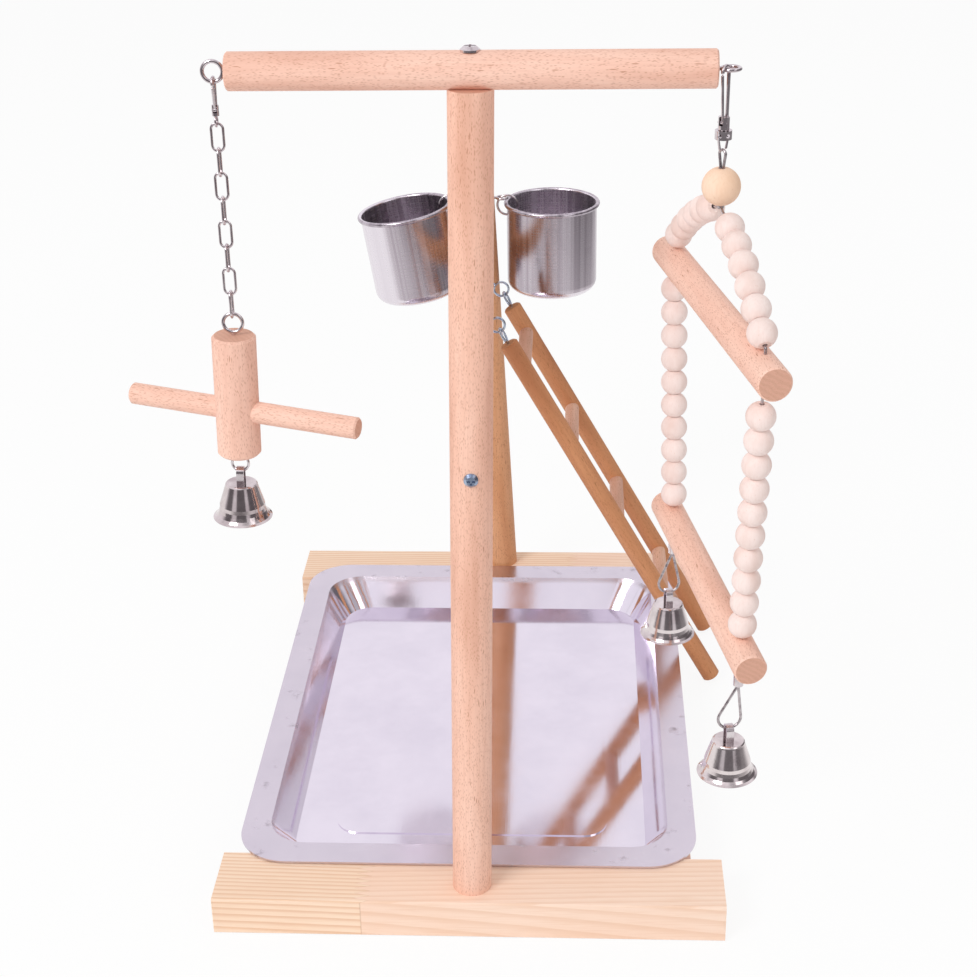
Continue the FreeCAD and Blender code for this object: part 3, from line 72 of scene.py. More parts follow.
class Graph:
    """Adds nodes to one tree; an input is a value or another node's socket."""

    def __init__(self, tree):
        self.tree = tree
        tree.nodes.clear()

    def add(self, kind, inputs=None, **settings):
        made = self.tree.nodes.new(kind)
        for name, value in settings.items():
            setattr(made, name, value)
        for key, value in (inputs or {}).items():
            self.feed(made.inputs[key], value)
        return made

    def feed(self, socket, value):
        if isinstance(value, bpy.types.NodeSocket):
            self.tree.links.new(value, socket)
        else:
            socket.default_value = value

    def math(self, operation, first, second=None):
        inputs = {0: first}
        if second is not None:
            inputs[1] = second
        return self.add("ShaderNodeMath", inputs, operation=operation).outputs[0]

    def vector(self, operation, first, second=None):
        inputs = {0: first}
        if second is not None:
            inputs[1] = second
        made = self.add("ShaderNodeVectorMath", inputs, operation=operation)
        return made.outputs["Value" if operation in ("DOT_PRODUCT", "LENGTH") else "Vector"]

    def scaled(self, vector, scale):
        return self.vector("MULTIPLY", vector, scale)

    def noise(self, vector, scale, detail=3.0, rough=0.5, output="Fac"):
        inputs = {"Vector": vector, "Scale": scale, "Detail": detail, "Roughness": rough}
        return self.add("ShaderNodeTexNoise", inputs).outputs[output]

    def cells(self, vector, scale):
        """Voronoi cells: the distance from a cell's middle, and the cell's own random grey."""
        made = self.add("ShaderNodeTexVoronoi", {"Vector": vector, "Scale": scale})
        grey = self.add("ShaderNodeSeparateColor", {0: made.outputs["Color"]}).outputs[0]
        return made.outputs["Distance"], grey

    def step(self, value, low, high, bottom=0.0, top=1.0):
        """value mapped smoothly from low..high to bottom..top."""
        inputs = {"Value": value, "From Min": low, "From Max": high,
                  "To Min": bottom, "To Max": top}
        return self.add("ShaderNodeMapRange", inputs, interpolation_type="SMOOTHSTEP").outputs[0]

    def ramp(self, factor, *stops):
        made = self.add("ShaderNodeValToRGB", {0: factor})
        elements = made.color_ramp.elements
        while len(elements) < len(stops):
            elements.new(0.5)
        for element, (place, shade) in zip(elements, stops):
            element.position = place
            element.color = shade
        return made.outputs[0]

    def mix(self, factor, first, second):
        """first where factor is 0, second where it is 1."""
        made = self.add("ShaderNodeMix", data_type="RGBA")
        for index, value in ((0, factor), (6, first), (7, second)):
            self.feed(made.inputs[index], value)
        return made.outputs[2]

    def bump(self, height, strength, distance):
        inputs = {"Height": height, "Strength": strength, "Distance": distance}
        return self.add("ShaderNodeBump", inputs).outputs[0]


def new_material(name):
    material = bpy.data.materials.new(name)
    material.use_nodes = True
    graph = Graph(material.node_tree)
    shader = graph.add("ShaderNodeBsdfPrincipled")
    output = graph.add("ShaderNodeOutputMaterial")
    graph.tree.links.new(shader.outputs[0], output.inputs[0])
    return material, graph, shader


DRESSED = set()


def dress(material, *names):
    """Puts the material in every slot of the named CAD nodes."""
    DRESSED.update(names)
    for name in names:
        mesh = NODES[name].data
        if not mesh.materials:
            mesh.materials.append(material)
        for index in range(len(mesh.materials)):
            mesh.materials[index] = material


# ------------------------------------------------------------------ where a piece's grain runs
def middle(name):
    low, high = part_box(name)
    return (Vector(low) + Vector(high)) / 2


def long_axis(name):
    """Direction of a long piece, from the spread of its own points."""
    mesh = NODES[name].data
    points = np.empty(len(mesh.vertices) * 3)
    mesh.vertices.foreach_get("co", points)
    points = points.reshape(-1, 3)
    spread = points - (points.max(axis=0) + points.min(axis=0)) / 2
    values, directions = np.linalg.eigh(spread.T @ spread)
    return Vector(directions[:, int(values.argmax())]).normalized()


def grain_space(graph, origin, axis):
    """Object coordinates turned so that Z runs with the grain."""
    turn = axis.to_track_quat("Z", "X").to_euler()
    place = graph.add("ShaderNodeTexCoord").outputs["Object"]
    inputs = {"Vector": place, "Location": tuple(origin), "Rotation": tuple(turn)}
    return graph.add("ShaderNodeMapping", inputs, vector_type="TEXTURE").outputs[0]


END_FACING = (0.75, 0.95)   # a face is end grain where it turns this far along the grain


def end_grain(graph, axis):
    """The share of end grain: 1 on a face across the axis, 0 along it."""
    normal = graph.add("ShaderNodeTexCoord").outputs["Normal"]
    facing = graph.vector("DOT_PRODUCT", normal, tuple(axis))
    return graph.step(graph.math("ABSOLUTE", facing), *END_FACING)


# ------------------------------------------------------------------ woods
# A texture's scale is its features per metre: across the grain, across, and along it.
BEECH_STREAKS = (55.0, 55.0, 7.0)
BEECH_FIBRE = (950.0, 950.0, 38.0)
BEECH_WARP = (300.0, 300.0, 60.0)
BEECH_FLECKS = (2000.0, 2000.0, 480.0)
BEECH_DASHES = (900.0, 900.0, 120.0)
BEECH_WOBBLE = (180.0, 180.0, 180.0)
BEECH_PORES = (2400.0, 2400.0, 2400.0)
WARP_REACH = (0.0006, 0.0006, 0.0006)   # metres
PITH_OFFSET = (0.021, 0.013, 0.0)       # the dowel is sawn this far from the tree's pith, metres
RING_PHASE = 2600.0                     # radians of ring pattern per metre
RING_WAVER = 9.0                        # radians that the rings stray
WOOD_SPECULAR = 0.35
BEECH_RELIEF = (0.35, 0.00012)          # a bump's strength, and its depth in metres


def beech(name, origin, axis, tones, fleck, end_tone, fleck_amount, seed):
    """Sanded beech dowel: soft streaks along the grain, short dark flecks, ringed end grain."""
    material, graph, shader = new_material(name)
    local = graph.vector("ADD", grain_space(graph, origin, axis), (seed, seed * 0.7, seed * 1.3))
    end = end_grain(graph, axis)
    pale, mid, dark = tones

    broad = graph.noise(graph.scaled(local, BEECH_STREAKS), 1.0, 3.0, 0.55)
    fibre = graph.noise(graph.scaled(local, BEECH_FIBRE), 1.0, 4.0, 0.6)
    sides = graph.ramp(broad, (0.3, dark), (0.48, mid), (0.7, pale))
    sides = graph.mix(graph.step(fibre, 0.35, 0.75, 0.0, 0.42), sides, dark)

    warp = graph.noise(graph.scaled(local, BEECH_WARP), 1.0, 2.0, 0.5, "Color")
    bent = graph.vector("ADD", local, graph.scaled(warp, WARP_REACH))
    fleck_distance, fleck_grey = graph.cells(graph.scaled(bent, BEECH_FLECKS), 1.0)
    flecks = graph.math("MULTIPLY", graph.step(fleck_distance, 0.15, 0.5, 1.0, 0.0),
                        graph.step(fleck_grey, 1.0 - fleck_amount, 1.04 - fleck_amount))
    dash_distance, dash_grey = graph.cells(graph.scaled(bent, BEECH_DASHES), 1.0)
    dashes = graph.math("MULTIPLY", graph.step(dash_distance, 0.12, 0.3, 1.0, 0.0),
                        graph.step(dash_grey, 0.82, 0.86))
    marks = graph.math("MAXIMUM", graph.math("MULTIPLY", flecks, 0.62),
                       graph.math("MULTIPLY", dashes, 0.85))
    sides = graph.mix(marks, sides, fleck)

    flat = graph.scaled(local, (1.0, 1.0, 0.0))
    radius = graph.vector("LENGTH", graph.vector("ADD", flat, PITH_OFFSET))
    wobble = graph.noise(graph.scaled(flat, BEECH_WOBBLE), 1.0, 2.0, 0.5)
    phase = graph.math("ADD", graph.math("MULTIPLY", radius, RING_PHASE),
                       graph.math("MULTIPLY", wobble, RING_WAVER))
    rings = graph.math("SINE", phase)
    pores = graph.noise(graph.scaled(flat, BEECH_PORES), 1.0, 2.0, 0.5)
    ends = graph.mix(graph.step(rings, -1.0, 1.0, 0.0, 0.4), end_tone, dark)
    ends = graph.mix(graph.step(pores, 0.52, 0.7, 0.0, 0.5), ends, fleck)

    graph.feed(shader.inputs["Base Color"], graph.mix(end, sides, ends))
    rough = graph.step(graph.math("ADD", fibre, marks), 0.3, 1.3, 0.56, 0.74)
    graph.feed(shader.inputs["Roughness"], rough)
    shader.inputs["Specular IOR Level"].default_value = WOOD_SPECULAR
    relief = graph.math("SUBTRACT", graph.math("MULTIPLY", fibre, 0.5), marks)
    relief = graph.math("SUBTRACT", relief, graph.math("MULTIPLY", end, pores))
    graph.feed(shader.inputs["Normal"], graph.bump(relief, *BEECH_RELIEF))
    return material


# Pine: its length runs along X.
PINE_FIBRE = (45.0, 1100.0, 1100.0)
PINE_TINT = (9.0, 30.0, 30.0)
PINE_WAVER = (4.0, 45.0, 45.0)
PINE_GRIT = (900.0, 900.0, 900.0)
PINE_LEFT = (srgb(251, 221, 196), srgb(254, 229, 207))    # the two pieces of a jointed batten
PINE_RIGHT = (srgb(251, 217, 195), srgb(254, 226, 207))
PINE_LATE = srgb(226, 174, 132)                           # late wood of a growth ring
PINE_STREAK = srgb(232, 186, 150)
PINE_SEAM = srgb(190, 140, 96)
PINE_END = srgb(240, 208, 168)
PINE_END_LATE = srgb(205, 150, 102)
PINE_END_GRIT = srgb(214, 168, 124)
LATE_LEFT = (0.55, 0.55, 0.55, 1.0)                       # strength of the growth lines
LATE_RIGHT = (0.28, 0.28, 0.28, 1.0)
RING_PITCH = (0.0027, 0.0036)                             # metres from ring to ring
FINGER_WIDTH = 0.0022
FINGER_SLOPE = 4.0
FINGER_SHIFT = 0.1                                        # keeps the fingers' count above zero
SEAM_WIDTH = 0.0006
SEAM_EDGE = 0.0001                                        # half the blend from piece to piece
PINE_RELIEF = (0.3, 0.00015)


def pine(name, origin, joint_place, tilt, pith, seed):
    """Planed pine batten, finger-jointed: straight growth lines that change at the joint."""
    material, graph, shader = new_material(name)
    place = graph.add("ShaderNodeTexCoord").outputs["Object"]
    inputs = {"Vector": place, "Location": tuple(origin)}
    local = graph.add("ShaderNodeMapping", inputs, vector_type="TEXTURE").outputs[0]
    along, across, height = graph.add("ShaderNodeSeparateXYZ", {0: local}).outputs

    teeth = graph.math("PINGPONG", graph.math("ADD", across, FINGER_SHIFT), FINGER_WIDTH)
    edge = graph.math("ADD", along, graph.math("MULTIPLY", teeth, FINGER_SLOPE))
    second_piece = graph.step(edge, joint_place - SEAM_EDGE, joint_place + SEAM_EDGE)
    seam = graph.step(graph.math("ABSOLUTE", graph.math("SUBTRACT", edge, joint_place)),
                      0.0, SEAM_WIDTH, 1.0, 0.0)

    def growth(offset, slope, pitch, shift):
        """Distance from this piece's pith, counted in growth rings."""
        drift = graph.math("MULTIPLY", along, slope)
        side = graph.math("ADD", graph.math("ADD", across, offset[0]), drift)
        rise = graph.math("ADD", height, offset[1])
        radius = graph.math("SQRT", graph.math("ADD", graph.math("MULTIPLY", side, side),
                                               graph.math("MULTIPLY", rise, rise)))
        stretched = graph.scaled(graph.vector("ADD", local, (shift, shift, shift)), PINE_WAVER)
        waver = graph.math("MULTIPLY", graph.noise(stretched, 1.0, 3.0, 0.5), 0.9)
        return graph.math("ADD", graph.math("DIVIDE", radius, pitch), waver)

    count = graph.mix(second_piece, growth(pith[0], tilt[0], RING_PITCH[0], seed),
                      growth(pith[1], tilt[1], RING_PITCH[1], seed + 3.0))
    year = graph.math("FRACT", count)
    late = graph.math("MULTIPLY", graph.step(year, 0.35, 0.9),
                      graph.step(year, 0.93, 1.0, 1.0, 0.0))
    fibre = graph.noise(graph.scaled(local, PINE_FIBRE), 1.0, 4.0, 0.6)
    tint = graph.noise(graph.scaled(local, PINE_TINT), 1.0, 2.0, 0.5)

    left = graph.ramp(tint, (0.3, PINE_LEFT[0]), (0.7, PINE_LEFT[1]))
    right = graph.ramp(tint, (0.3, PINE_RIGHT[0]), (0.7, PINE_RIGHT[1]))
    early = graph.mix(second_piece, left, right)
    strength = graph.mix(second_piece, LATE_LEFT, LATE_RIGHT)
    colour = graph.mix(graph.math("MULTIPLY", late, strength), early, PINE_LATE)
    colour = graph.mix(graph.step(fibre, 0.42, 0.8, 0.0, 0.3), colour, PINE_STREAK)
    colour = graph.mix(graph.math("MULTIPLY", seam, 0.35), colour, PINE_SEAM)

    end = end_grain(graph, (1.0, 0.0, 0.0))
    grit = graph.noise(graph.scaled(local, PINE_GRIT), 1.0, 3.0, 0.6)
    ends = graph.mix(graph.math("MULTIPLY", late, 0.75), PINE_END, PINE_END_LATE)
    ends = graph.mix(graph.step(grit, 0.45, 0.75, 0.0, 0.35), ends, PINE_END_GRIT)
    graph.feed(shader.inputs["Base Color"], graph.mix(end, colour, ends))
    graph.feed(shader.inputs["Roughness"], graph.step(fibre, 0.3, 0.8, 0.58, 0.76))
    shader.inputs["Specular IOR Level"].default_value = WOOD_SPECULAR
    relief = graph.math("ADD", graph.math("MULTIPLY", late, 0.5),
                        graph.math("MULTIPLY", fibre, 0.6))
    sunk = graph.math("MULTIPLY", graph.math("MULTIPLY", end, grit), 0.8)
    relief = graph.math("SUBTRACT", relief, sunk)
    graph.feed(shader.inputs["Normal"], graph.bump(relief, *PINE_RELIEF))
    return material


BEAD_FIBRE = (1400.0, 1400.0, 160.0)
BEAD_SPECKS = (1100.0, 1100.0, 420.0)
SPECK_TONE = srgb(214, 168, 140)
BEAD_SPECULAR = 0.3
BEAD_RELIEF = (0.2, 0.0001)


def bead_wood(name, tones, scale, end_turn):
    """Tumbled bead: faint soft grain, a slightly different tone on each bead."""
    material, graph, shader = new_material(name)
    place = graph.add("ShaderNodeTexCoord").outputs["Object"]
    island = graph.add("ShaderNodeNewGeometry").outputs["Random Per Island"]
    shifts = {0: island, 1: graph.math("MULTIPLY", island, 3.1), 2: end_turn}
    place = graph.vector("ADD", place, graph.add("ShaderNodeCombineXYZ", shifts).outputs[0])
    soft = graph.noise(graph.scaled(place, (scale, scale, scale * 0.35)), 1.0, 3.0, 0.55)
    fibre = graph.noise(graph.scaled(place, BEAD_FIBRE), 1.0, 3.0, 0.6)
    pale, mid, dark = tones
    tone = graph.ramp(soft, (0.3, dark), (0.5, mid), (0.68, pale))
    tone = graph.mix(graph.math("MULTIPLY", island, 0.35), tone, mid)
    tone = graph.mix(graph.step(fibre, 0.4, 0.8, 0.0, 0.4), tone, dark)
    distance, grey = graph.cells(graph.scaled(place, BEAD_SPECKS), 1.0)
    speck = graph.math("MULTIPLY", graph.step(distance, 0.1, 0.3, 1.0, 0.0),
                       graph.step(grey, 0.9, 0.94))
    tone = graph.mix(graph.math("MULTIPLY", speck, 0.4), tone, SPECK_TONE)
    graph.feed(shader.inputs["Base Color"], tone)
    graph.feed(shader.inputs["Roughness"], graph.step(fibre, 0.3, 0.8, 0.6, 0.75))
    shader.inputs["Specular IOR Level"].default_value = BEAD_SPECULAR
    graph.feed(shader.inputs["Normal"], graph.bump(fibre, *BEAD_RELIEF))
    return material


# ------------------------------------------------------------------ metals
PLAIN_GRAIN = (900.0, 900.0, 900.0)
PIT_SCALE = 700.0
METAL_DEPTH = 0.00008      # metres


def metal(name, bright, dull, rough, blotch, grain=PLAIN_GRAIN, grain_strength=0.08, pits=0.0):
    """Metal with faint blotches, a drawn or brushed grain, and small pits."""
    material, graph, shader = new_material(name)
    place = graph.add("ShaderNodeTexCoord").outputs["Object"]
    patch = graph.noise(place, blotch, 4.0, 0.55)
    graph.feed(shader.inputs["Base Color"], graph.ramp(patch, (0.32, dull), (0.62, bright)))
    shader.inputs["Metallic"].default_value = 1.0
    fine = graph.noise(graph.scaled(place, grain), 1.0, 3.0, 0.6)
    mean = graph.math("ADD", graph.math("MULTIPLY", patch, 0.5), graph.math("MULTIPLY", fine, 0.5))
    graph.feed(shader.inputs["Roughness"], graph.step(mean, 0.3, 0.7, rough * 0.75, rough * 1.35))
    height = fine
    if pits:
        distance, grey = graph.cells(place, PIT_SCALE)
        dots = graph.math("MULTIPLY", graph.step(distance, 0.1, 0.35, 1.0, 0.0),
                          graph.step(grey, 0.8, 0.85))
        height = graph.math("SUBTRACT", fine, graph.math("MULTIPLY", dots, pits))
    graph.feed(shader.inputs["Normal"], graph.bump(height, grain_strength, METAL_DEPTH))
    return material


TRAY_TONES = (srgb(226, 219, 231), srgb(234, 227, 238))
RIM_TONE = srgb(176, 164, 172)
SMUDGE_TONE = srgb(140, 130, 137)
RIM_DEPTH = (0.004, 0.001)           # metres below the tray's top where the rim's finish starts
DRAWN_SCALE = (1300.0, 22.0, 400.0)
SCUFF_SCALE = (160.0, 900.0, 400.0)
WAVE_SCALE = (9.0, 6.0, 9.0)
CLOUD_SCALE = 26.0
SMUDGE_SCALE = 75.0
TRAY_RELIEF = (0.25, 0.0012)


def tray_steel():
    """Pressed steel tray: clear reflections, fine scuffs, and dull smudges round its rim."""
    material, graph, shader = new_material("tray_steel")
    place = graph.add("ShaderNodeTexCoord").outputs["Object"]
    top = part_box("tray")[1][2]
    height = graph.add("ShaderNodeSeparateXYZ", {0: place}).outputs[2]
    rim = graph.step(height, top - RIM_DEPTH[0], top - RIM_DEPTH[1])
    cloud = graph.noise(place, CLOUD_SCALE, 5.0, 0.6)
    smudge = graph.step(graph.noise(place, SMUDGE_SCALE, 5.0, 0.65), 0.58, 0.76)
    smudge = graph.math("MULTIPLY", smudge, rim)
    tone = graph.ramp(cloud, (0.35, TRAY_TONES[0]), (0.65, TRAY_TONES[1]))
    tone = graph.mix(graph.math("MULTIPLY", rim, 0.3), tone, RIM_TONE)
    tone = graph.mix(graph.math("MULTIPLY", smudge, 0.6), tone, SMUDGE_TONE)
    graph.feed(shader.inputs["Base Color"], tone)
    shader.inputs["Metallic"].default_value = 1.0
    drawn = graph.noise(graph.scaled(place, DRAWN_SCALE), 1.0, 3.0, 0.6)
    scuff = graph.noise(graph.scaled(place, SCUFF_SCALE), 1.0, 4.0, 0.7)
    base = graph.step(cloud, 0.3, 0.7, 0.07, 0.12)
    base = graph.math("ADD", base, graph.math("MULTIPLY", rim, 0.14))
    base = graph.math("ADD", base, graph.math("MULTIPLY", smudge, 0.22))
    base = graph.math("ADD", base, graph.step(scuff, 0.62, 0.8, 0.0, 0.1))
    graph.feed(shader.inputs["Roughness"], base)
    waves = graph.noise(graph.scaled(place, WAVE_SCALE), 1.0, 1.0, 0.4)
    relief = graph.math("ADD", graph.math("MULTIPLY", drawn, 0.02), waves)
    graph.feed(shader.inputs["Normal"], graph.bump(relief, *TRAY_RELIEF))
    return material


CUP_INNER_RADIUS = 0.0309      # metres: nearer the cup's axis than this is its inside
CUP_INNER_EDGE = 0.0002        # metres of blend to the outside
# Painted reflection: the dark, mid and pale tones of the cup wall's bands stand in for the studio
# mirrored in the steel.
CUP_REFLECTION_BANDS = (srgb(164, 153, 162), srgb(190, 180, 188), srgb(212, 203, 211))
CUP_CLOUD = srgb(154, 143, 152)
CUP_INSIDE = srgb(244, 237, 244)
TURNING_SCALE = 1500.0
REFLECTION_BAND_SCALE = (7.0, 7.0, 1.0)
CUP_CLOUD_SCALE = 40.0
CUP_RELIEF = (0.18, 0.00012)


def cup_steel(name, node, tilt):
    """Spun steel cup: satin, with painted reflection bands down its wall, turning marks, and a bright
    inside.
    """
    material, graph, shader = new_material(name)
    axis = Vector((math.sin(tilt), 0.0, math.cos(tilt)))
    local = grain_space(graph, middle(node), axis)
    along, across, height = graph.add("ShaderNodeSeparateXYZ", {0: local}).outputs
    angle = graph.math("ARCTAN2", across, along)
    round_it = graph.add("ShaderNodeCombineXYZ", {
        0: graph.math("COSINE", angle), 1: graph.math("SINE", angle),
        2: graph.math("MULTIPLY", height, 1.5)})
    # Painted reflection bands: a noise round the cup's axis; it also sets the satin roughness and the
    # relief.
    reflection_band = graph.noise(graph.scaled(round_it.outputs[0], REFLECTION_BAND_SCALE), 1.0, 4.0, 0.65)
    stacked = {2: graph.math("MULTIPLY", height, TURNING_SCALE)}
    turned = graph.noise(graph.add("ShaderNodeCombineXYZ", stacked).outputs[0], 1.0, 3.0, 0.6)
    cloud = graph.noise(local, CUP_CLOUD_SCALE, 4.0, 0.6)
    dark, mid, pale = CUP_REFLECTION_BANDS
    # Painted reflection: the wall's colour runs in bands from dark to pale tones.
    tone = graph.ramp(reflection_band, (0.32, dark), (0.5, mid), (0.68, pale))
    tone = graph.mix(graph.step(cloud, 0.5, 0.75, 0.0, 0.25), tone, CUP_CLOUD)
    reach = graph.vector("LENGTH", graph.scaled(local, (1.0, 1.0, 0.0)))
    inner = graph.step(reach, CUP_INNER_RADIUS - CUP_INNER_EDGE, CUP_INNER_RADIUS, 1.0, 0.0)
    tone = graph.mix(graph.math("MULTIPLY", inner, 0.75), tone, CUP_INSIDE)
    graph.feed(shader.inputs["Base Color"], tone)
    shader.inputs["Metallic"].default_value = 1.0
    satin = graph.math("ADD", graph.step(reflection_band, 0.3, 0.7, 0.2, 0.3),
                       graph.step(turned, 0.35, 0.7, -0.03, 0.05))
    graph.feed(shader.inputs["Roughness"], satin)
    relief = graph.math("ADD", graph.math("MULTIPLY", turned, 0.6), reflection_band)
    graph.feed(shader.inputs["Normal"], graph.bump(relief, *CUP_RELIEF))
    return material


# ------------------------------------------------------------------ studio
FLOOR_SIZE = 14.0            # metres
FLOOR_WHITENING = 0.9        # share of plain white that the camera sees on the floor
FLOOR_GREY = (0.92, 0.92, 0.92, 1.0)
FLOOR_DIM = (0.2, 0.19, 0.2, 1.0)
# Where metal mirrors the floor: white beyond the first pair of Y, darker past the pair of X.
SWEEP_EDGE = (-0.95, -0.45)
SWEEP_SIDE = (0.45, 1.1)
SWEEP_SIDE_SHARE = 0.15
WHITE = (1.0, 1.0, 1.0, 1.0)


def make_floor():
    """A pale floor that keeps the shadow, seen close to white; metal mirrors its edges dark."""
    mesh = bpy.data.meshes.new("studio_floor")
    half = FLOOR_SIZE / 2
    corners = [(-half, -half, 0.0), (half, -half, 0.0), (half, half, 0.0), (-half, half, 0.0)]
    mesh.from_pydata(corners, [], [(0, 1, 2, 3)])
    floor = bpy.data.objects.new("studio_floor", mesh)
    bpy.context.collection.objects.link(floor)
    material = bpy.data.materials.new("studio_floor")
    material.use_nodes = True
    graph = Graph(material.node_tree)
    ray = graph.add("ShaderNodeLightPath")
    diffuse = graph.add("ShaderNodeBsdfDiffuse", {"Color": FLOOR_GREY})
    place = graph.add("ShaderNodeTexCoord").outputs["Object"]
    aside, toward, _ = graph.add("ShaderNodeSeparateXYZ", {0: place}).outputs
    sweep = graph.math("MULTIPLY", graph.step(toward, *SWEEP_EDGE),
                       graph.step(aside, *SWEEP_SIDE, 1.0, SWEEP_SIDE_SHARE))
    white = graph.add("ShaderNodeEmission", {"Color": WHITE, "Strength": 1.0})
    seen = graph.math("MAXIMUM", ray.outputs["Is Camera Ray"], ray.outputs["Is Transmission Ray"])
    seen = graph.math("MAXIMUM", seen, graph.math("MULTIPLY", ray.outputs["Is Glossy Ray"], sweep))
    share = graph.math("MULTIPLY", seen, FLOOR_WHITENING)
    blend = graph.add("ShaderNodeMixShader", {0: share, 1: diffuse.outputs[0], 2: white.outputs[0]})
    past = graph.math("MULTIPLY", ray.outputs["Is Glossy Ray"], graph.math("SUBTRACT", 1.0, sweep))
    dim = graph.add("ShaderNodeEmission", {"Color": FLOOR_DIM, "Strength": 1.0})
    blend = graph.add("ShaderNodeMixShader", {0: past, 1: blend.outputs[0], 2: dim.outputs[0]})
    output = graph.add("ShaderNodeOutputMaterial")
    graph.tree.links.new(blend.outputs[0], output.inputs[0])
    mesh.materials.append(material)


# The studio that metal mirrors, by the direction's X, Y and Z (-1 to 1).
BEYOND = (-0.35, 0.15)            # Y: white beyond the stand, dark behind the camera
CEILING = (0.4, 0.55)             # Z: the ceiling is white ...
CEILING_SIDE = (0.25, -0.05)      # X: ... on the left, and CEILING_SHARE of it on the right
CEILING_SHARE = 0.45
RIGHT_WALL = (0.42, 0.6)          # X: the dark right wall starts here ...
WALL_TOP = (0.62, 0.4)            # Z: ... and ends here
LEFT_PANEL = (-0.75, -0.62, -0.42, -0.3)   # X: pale panels stand in the dark parts
RIGHT_PANEL = (0.38, 0.48, 0.62, 0.74)
PANEL_SHARE = 0.75
STUDIO_DARK = (0.16, 0.15, 0.16, 1.0)
STUDIO_WHITE = (0.98, 0.96, 1.0, 1.0)
AMBIENT = 0.6


def make_world():
    """White where it is seen; metal mirrors a studio, dark behind the camera and on the right."""
    world = bpy.data.worlds.new("studio")
    bpy.context.scene.world = world
    world.use_nodes = True
    graph = Graph(world.node_tree)
    direction = graph.add("ShaderNodeTexCoord").outputs["Generated"]
    x, y, z = graph.add("ShaderNodeSeparateXYZ", {0: direction}).outputs
    right_wall = graph.math("MULTIPLY", graph.step(x, *RIGHT_WALL), graph.step(z, *WALL_TOP))
    beyond = graph.math("MULTIPLY", graph.step(y, *BEYOND), graph.math("SUBTRACT", 1.0, right_wall))
    above = graph.math("MULTIPLY", graph.step(z, *CEILING),
                       graph.step(x, *CEILING_SIDE, CEILING_SHARE, 1.0))
    panels = [graph.math("MULTIPLY", graph.step(x, start, full), graph.step(x, fade, stop, 1.0, 0.0))
              for start, full, fade, stop in (LEFT_PANEL, RIGHT_PANEL)]
    panels = graph.math("MULTIPLY", graph.math("MAXIMUM", *panels), PANEL_SHARE)
    share = graph.math("MAXIMUM", graph.math("MAXIMUM", beyond, above), panels)
    mirrored = graph.mix(share, STUDIO_DARK, STUDIO_WHITE)
    ray = graph.add("ShaderNodeLightPath")
    plain = graph.add("ShaderNodeBackground", {"Color": WHITE, "Strength": AMBIENT})
    glossy = graph.add("ShaderNodeBackground", {"Color": mirrored, "Strength": 1.0})
    white = graph.add("ShaderNodeBackground", {"Color": WHITE, "Strength": 1.0})
    first = graph.add("ShaderNodeMixShader",
                      {0: ray.outputs["Is Glossy Ray"], 1: plain.outputs[0], 2: glossy.outputs[0]})
    seen = graph.math("MAXIMUM", ray.outputs["Is Camera Ray"], ray.outputs["Is Transmission Ray"])
    last = graph.add("ShaderNodeMixShader", {0: seen, 1: first.outputs[0], 2: white.outputs[0]})
    output = graph.add("ShaderNodeOutputWorld")
    graph.tree.links.new(last.outputs[0], output.inputs[0])


LAMP_TARGET = (0.0, 0.15, 0.25)
BACK_LAMP_TARGET = (0.0, 0.15, 0.2)


def add_lamp(name, place, target, size, power, mirrored=True):
    """A soft area lamp; power is in watts, and metal mirrors it only if mirrored."""
    data = bpy.data.lights.new(name, "AREA")
    data.shape = "RECTANGLE"
    data.size, data.size_y = size
    data.energy = power
    lamp = bpy.data.objects.new(name, data)
    lamp.location = place
    lamp.rotation_euler = (Vector(target) - Vector(place)).to_track_quat("-Z", "Y").to_euler()
    lamp.visible_camera = False
    lamp.visible_glossy = mirrored
    bpy.context.collection.objects.link(lamp)


def make_studio():
    make_floor()
    make_world()
    add_lamp("key_lamp", (-1.5, -1.7, 2.1), LAMP_TARGET, size=(1.2, 1.2), power=40.0)
    add_lamp("fill_lamp", (1.7, -1.3, 1.6), LAMP_TARGET, size=(1.0, 1.4), power=5.0)
    add_lamp("back_lamp", (0.2, 2.0, 2.2), BACK_LAMP_TARGET, size=(1.6, 0.8), power=7.0, mirrored=False)


# ------------------------------------------------------------------ finishes
LIGHT_TONES = (srgb(251, 211, 193), srgb(246, 201, 182), srgb(229, 177, 156))   # pale, mid, dark
POST_TONES = (srgb(250, 206, 186), srgb(244, 195, 173), srgb(224, 170, 146))
WARM_TONES = (srgb(232, 178, 136), srgb(222, 163, 118), srgb(206, 142, 98))
LADDER_TONES = (srgb(220, 157, 112), srgb(208, 143, 99), srgb(190, 124, 83))
RUNG_TONES = (srgb(236, 190, 164), srgb(224, 174, 150), srgb(206, 154, 130))
BEAD_TONES = (srgb(250, 233, 228), srgb(245, 225, 219), srgb(233, 206, 197))
TOP_BEAD_TONES = (srgb(250, 223, 201), srgb(248, 213, 186), srgb(236, 193, 160))
LIGHT_FLECK = srgb(192, 132, 104)
WARM_FLECK = srgb(168, 108, 70)
LIGHT_END = srgb(214, 164, 142)
WARM_END = srgb(204, 146, 104)

# A beech finish: its tones, flecks, end grain, and how many flecks it has.
POST_BEECH = (POST_TONES, LIGHT_FLECK, LIGHT_END, 0.6)
LIGHT_BEECH = (LIGHT_TONES, LIGHT_FLECK, LIGHT_END, 0.6)
WARM_BEECH = (WARM_TONES, WARM_FLECK, WARM_END, 0.5)
LADDER_BEECH = (LADDER_TONES, WARM_FLECK, WARM_END, 0.45)
RUNG_BEECH = (RUNG_TONES, WARM_FLECK, WARM_END, 0.4)
RUNG_SEED = 6.5

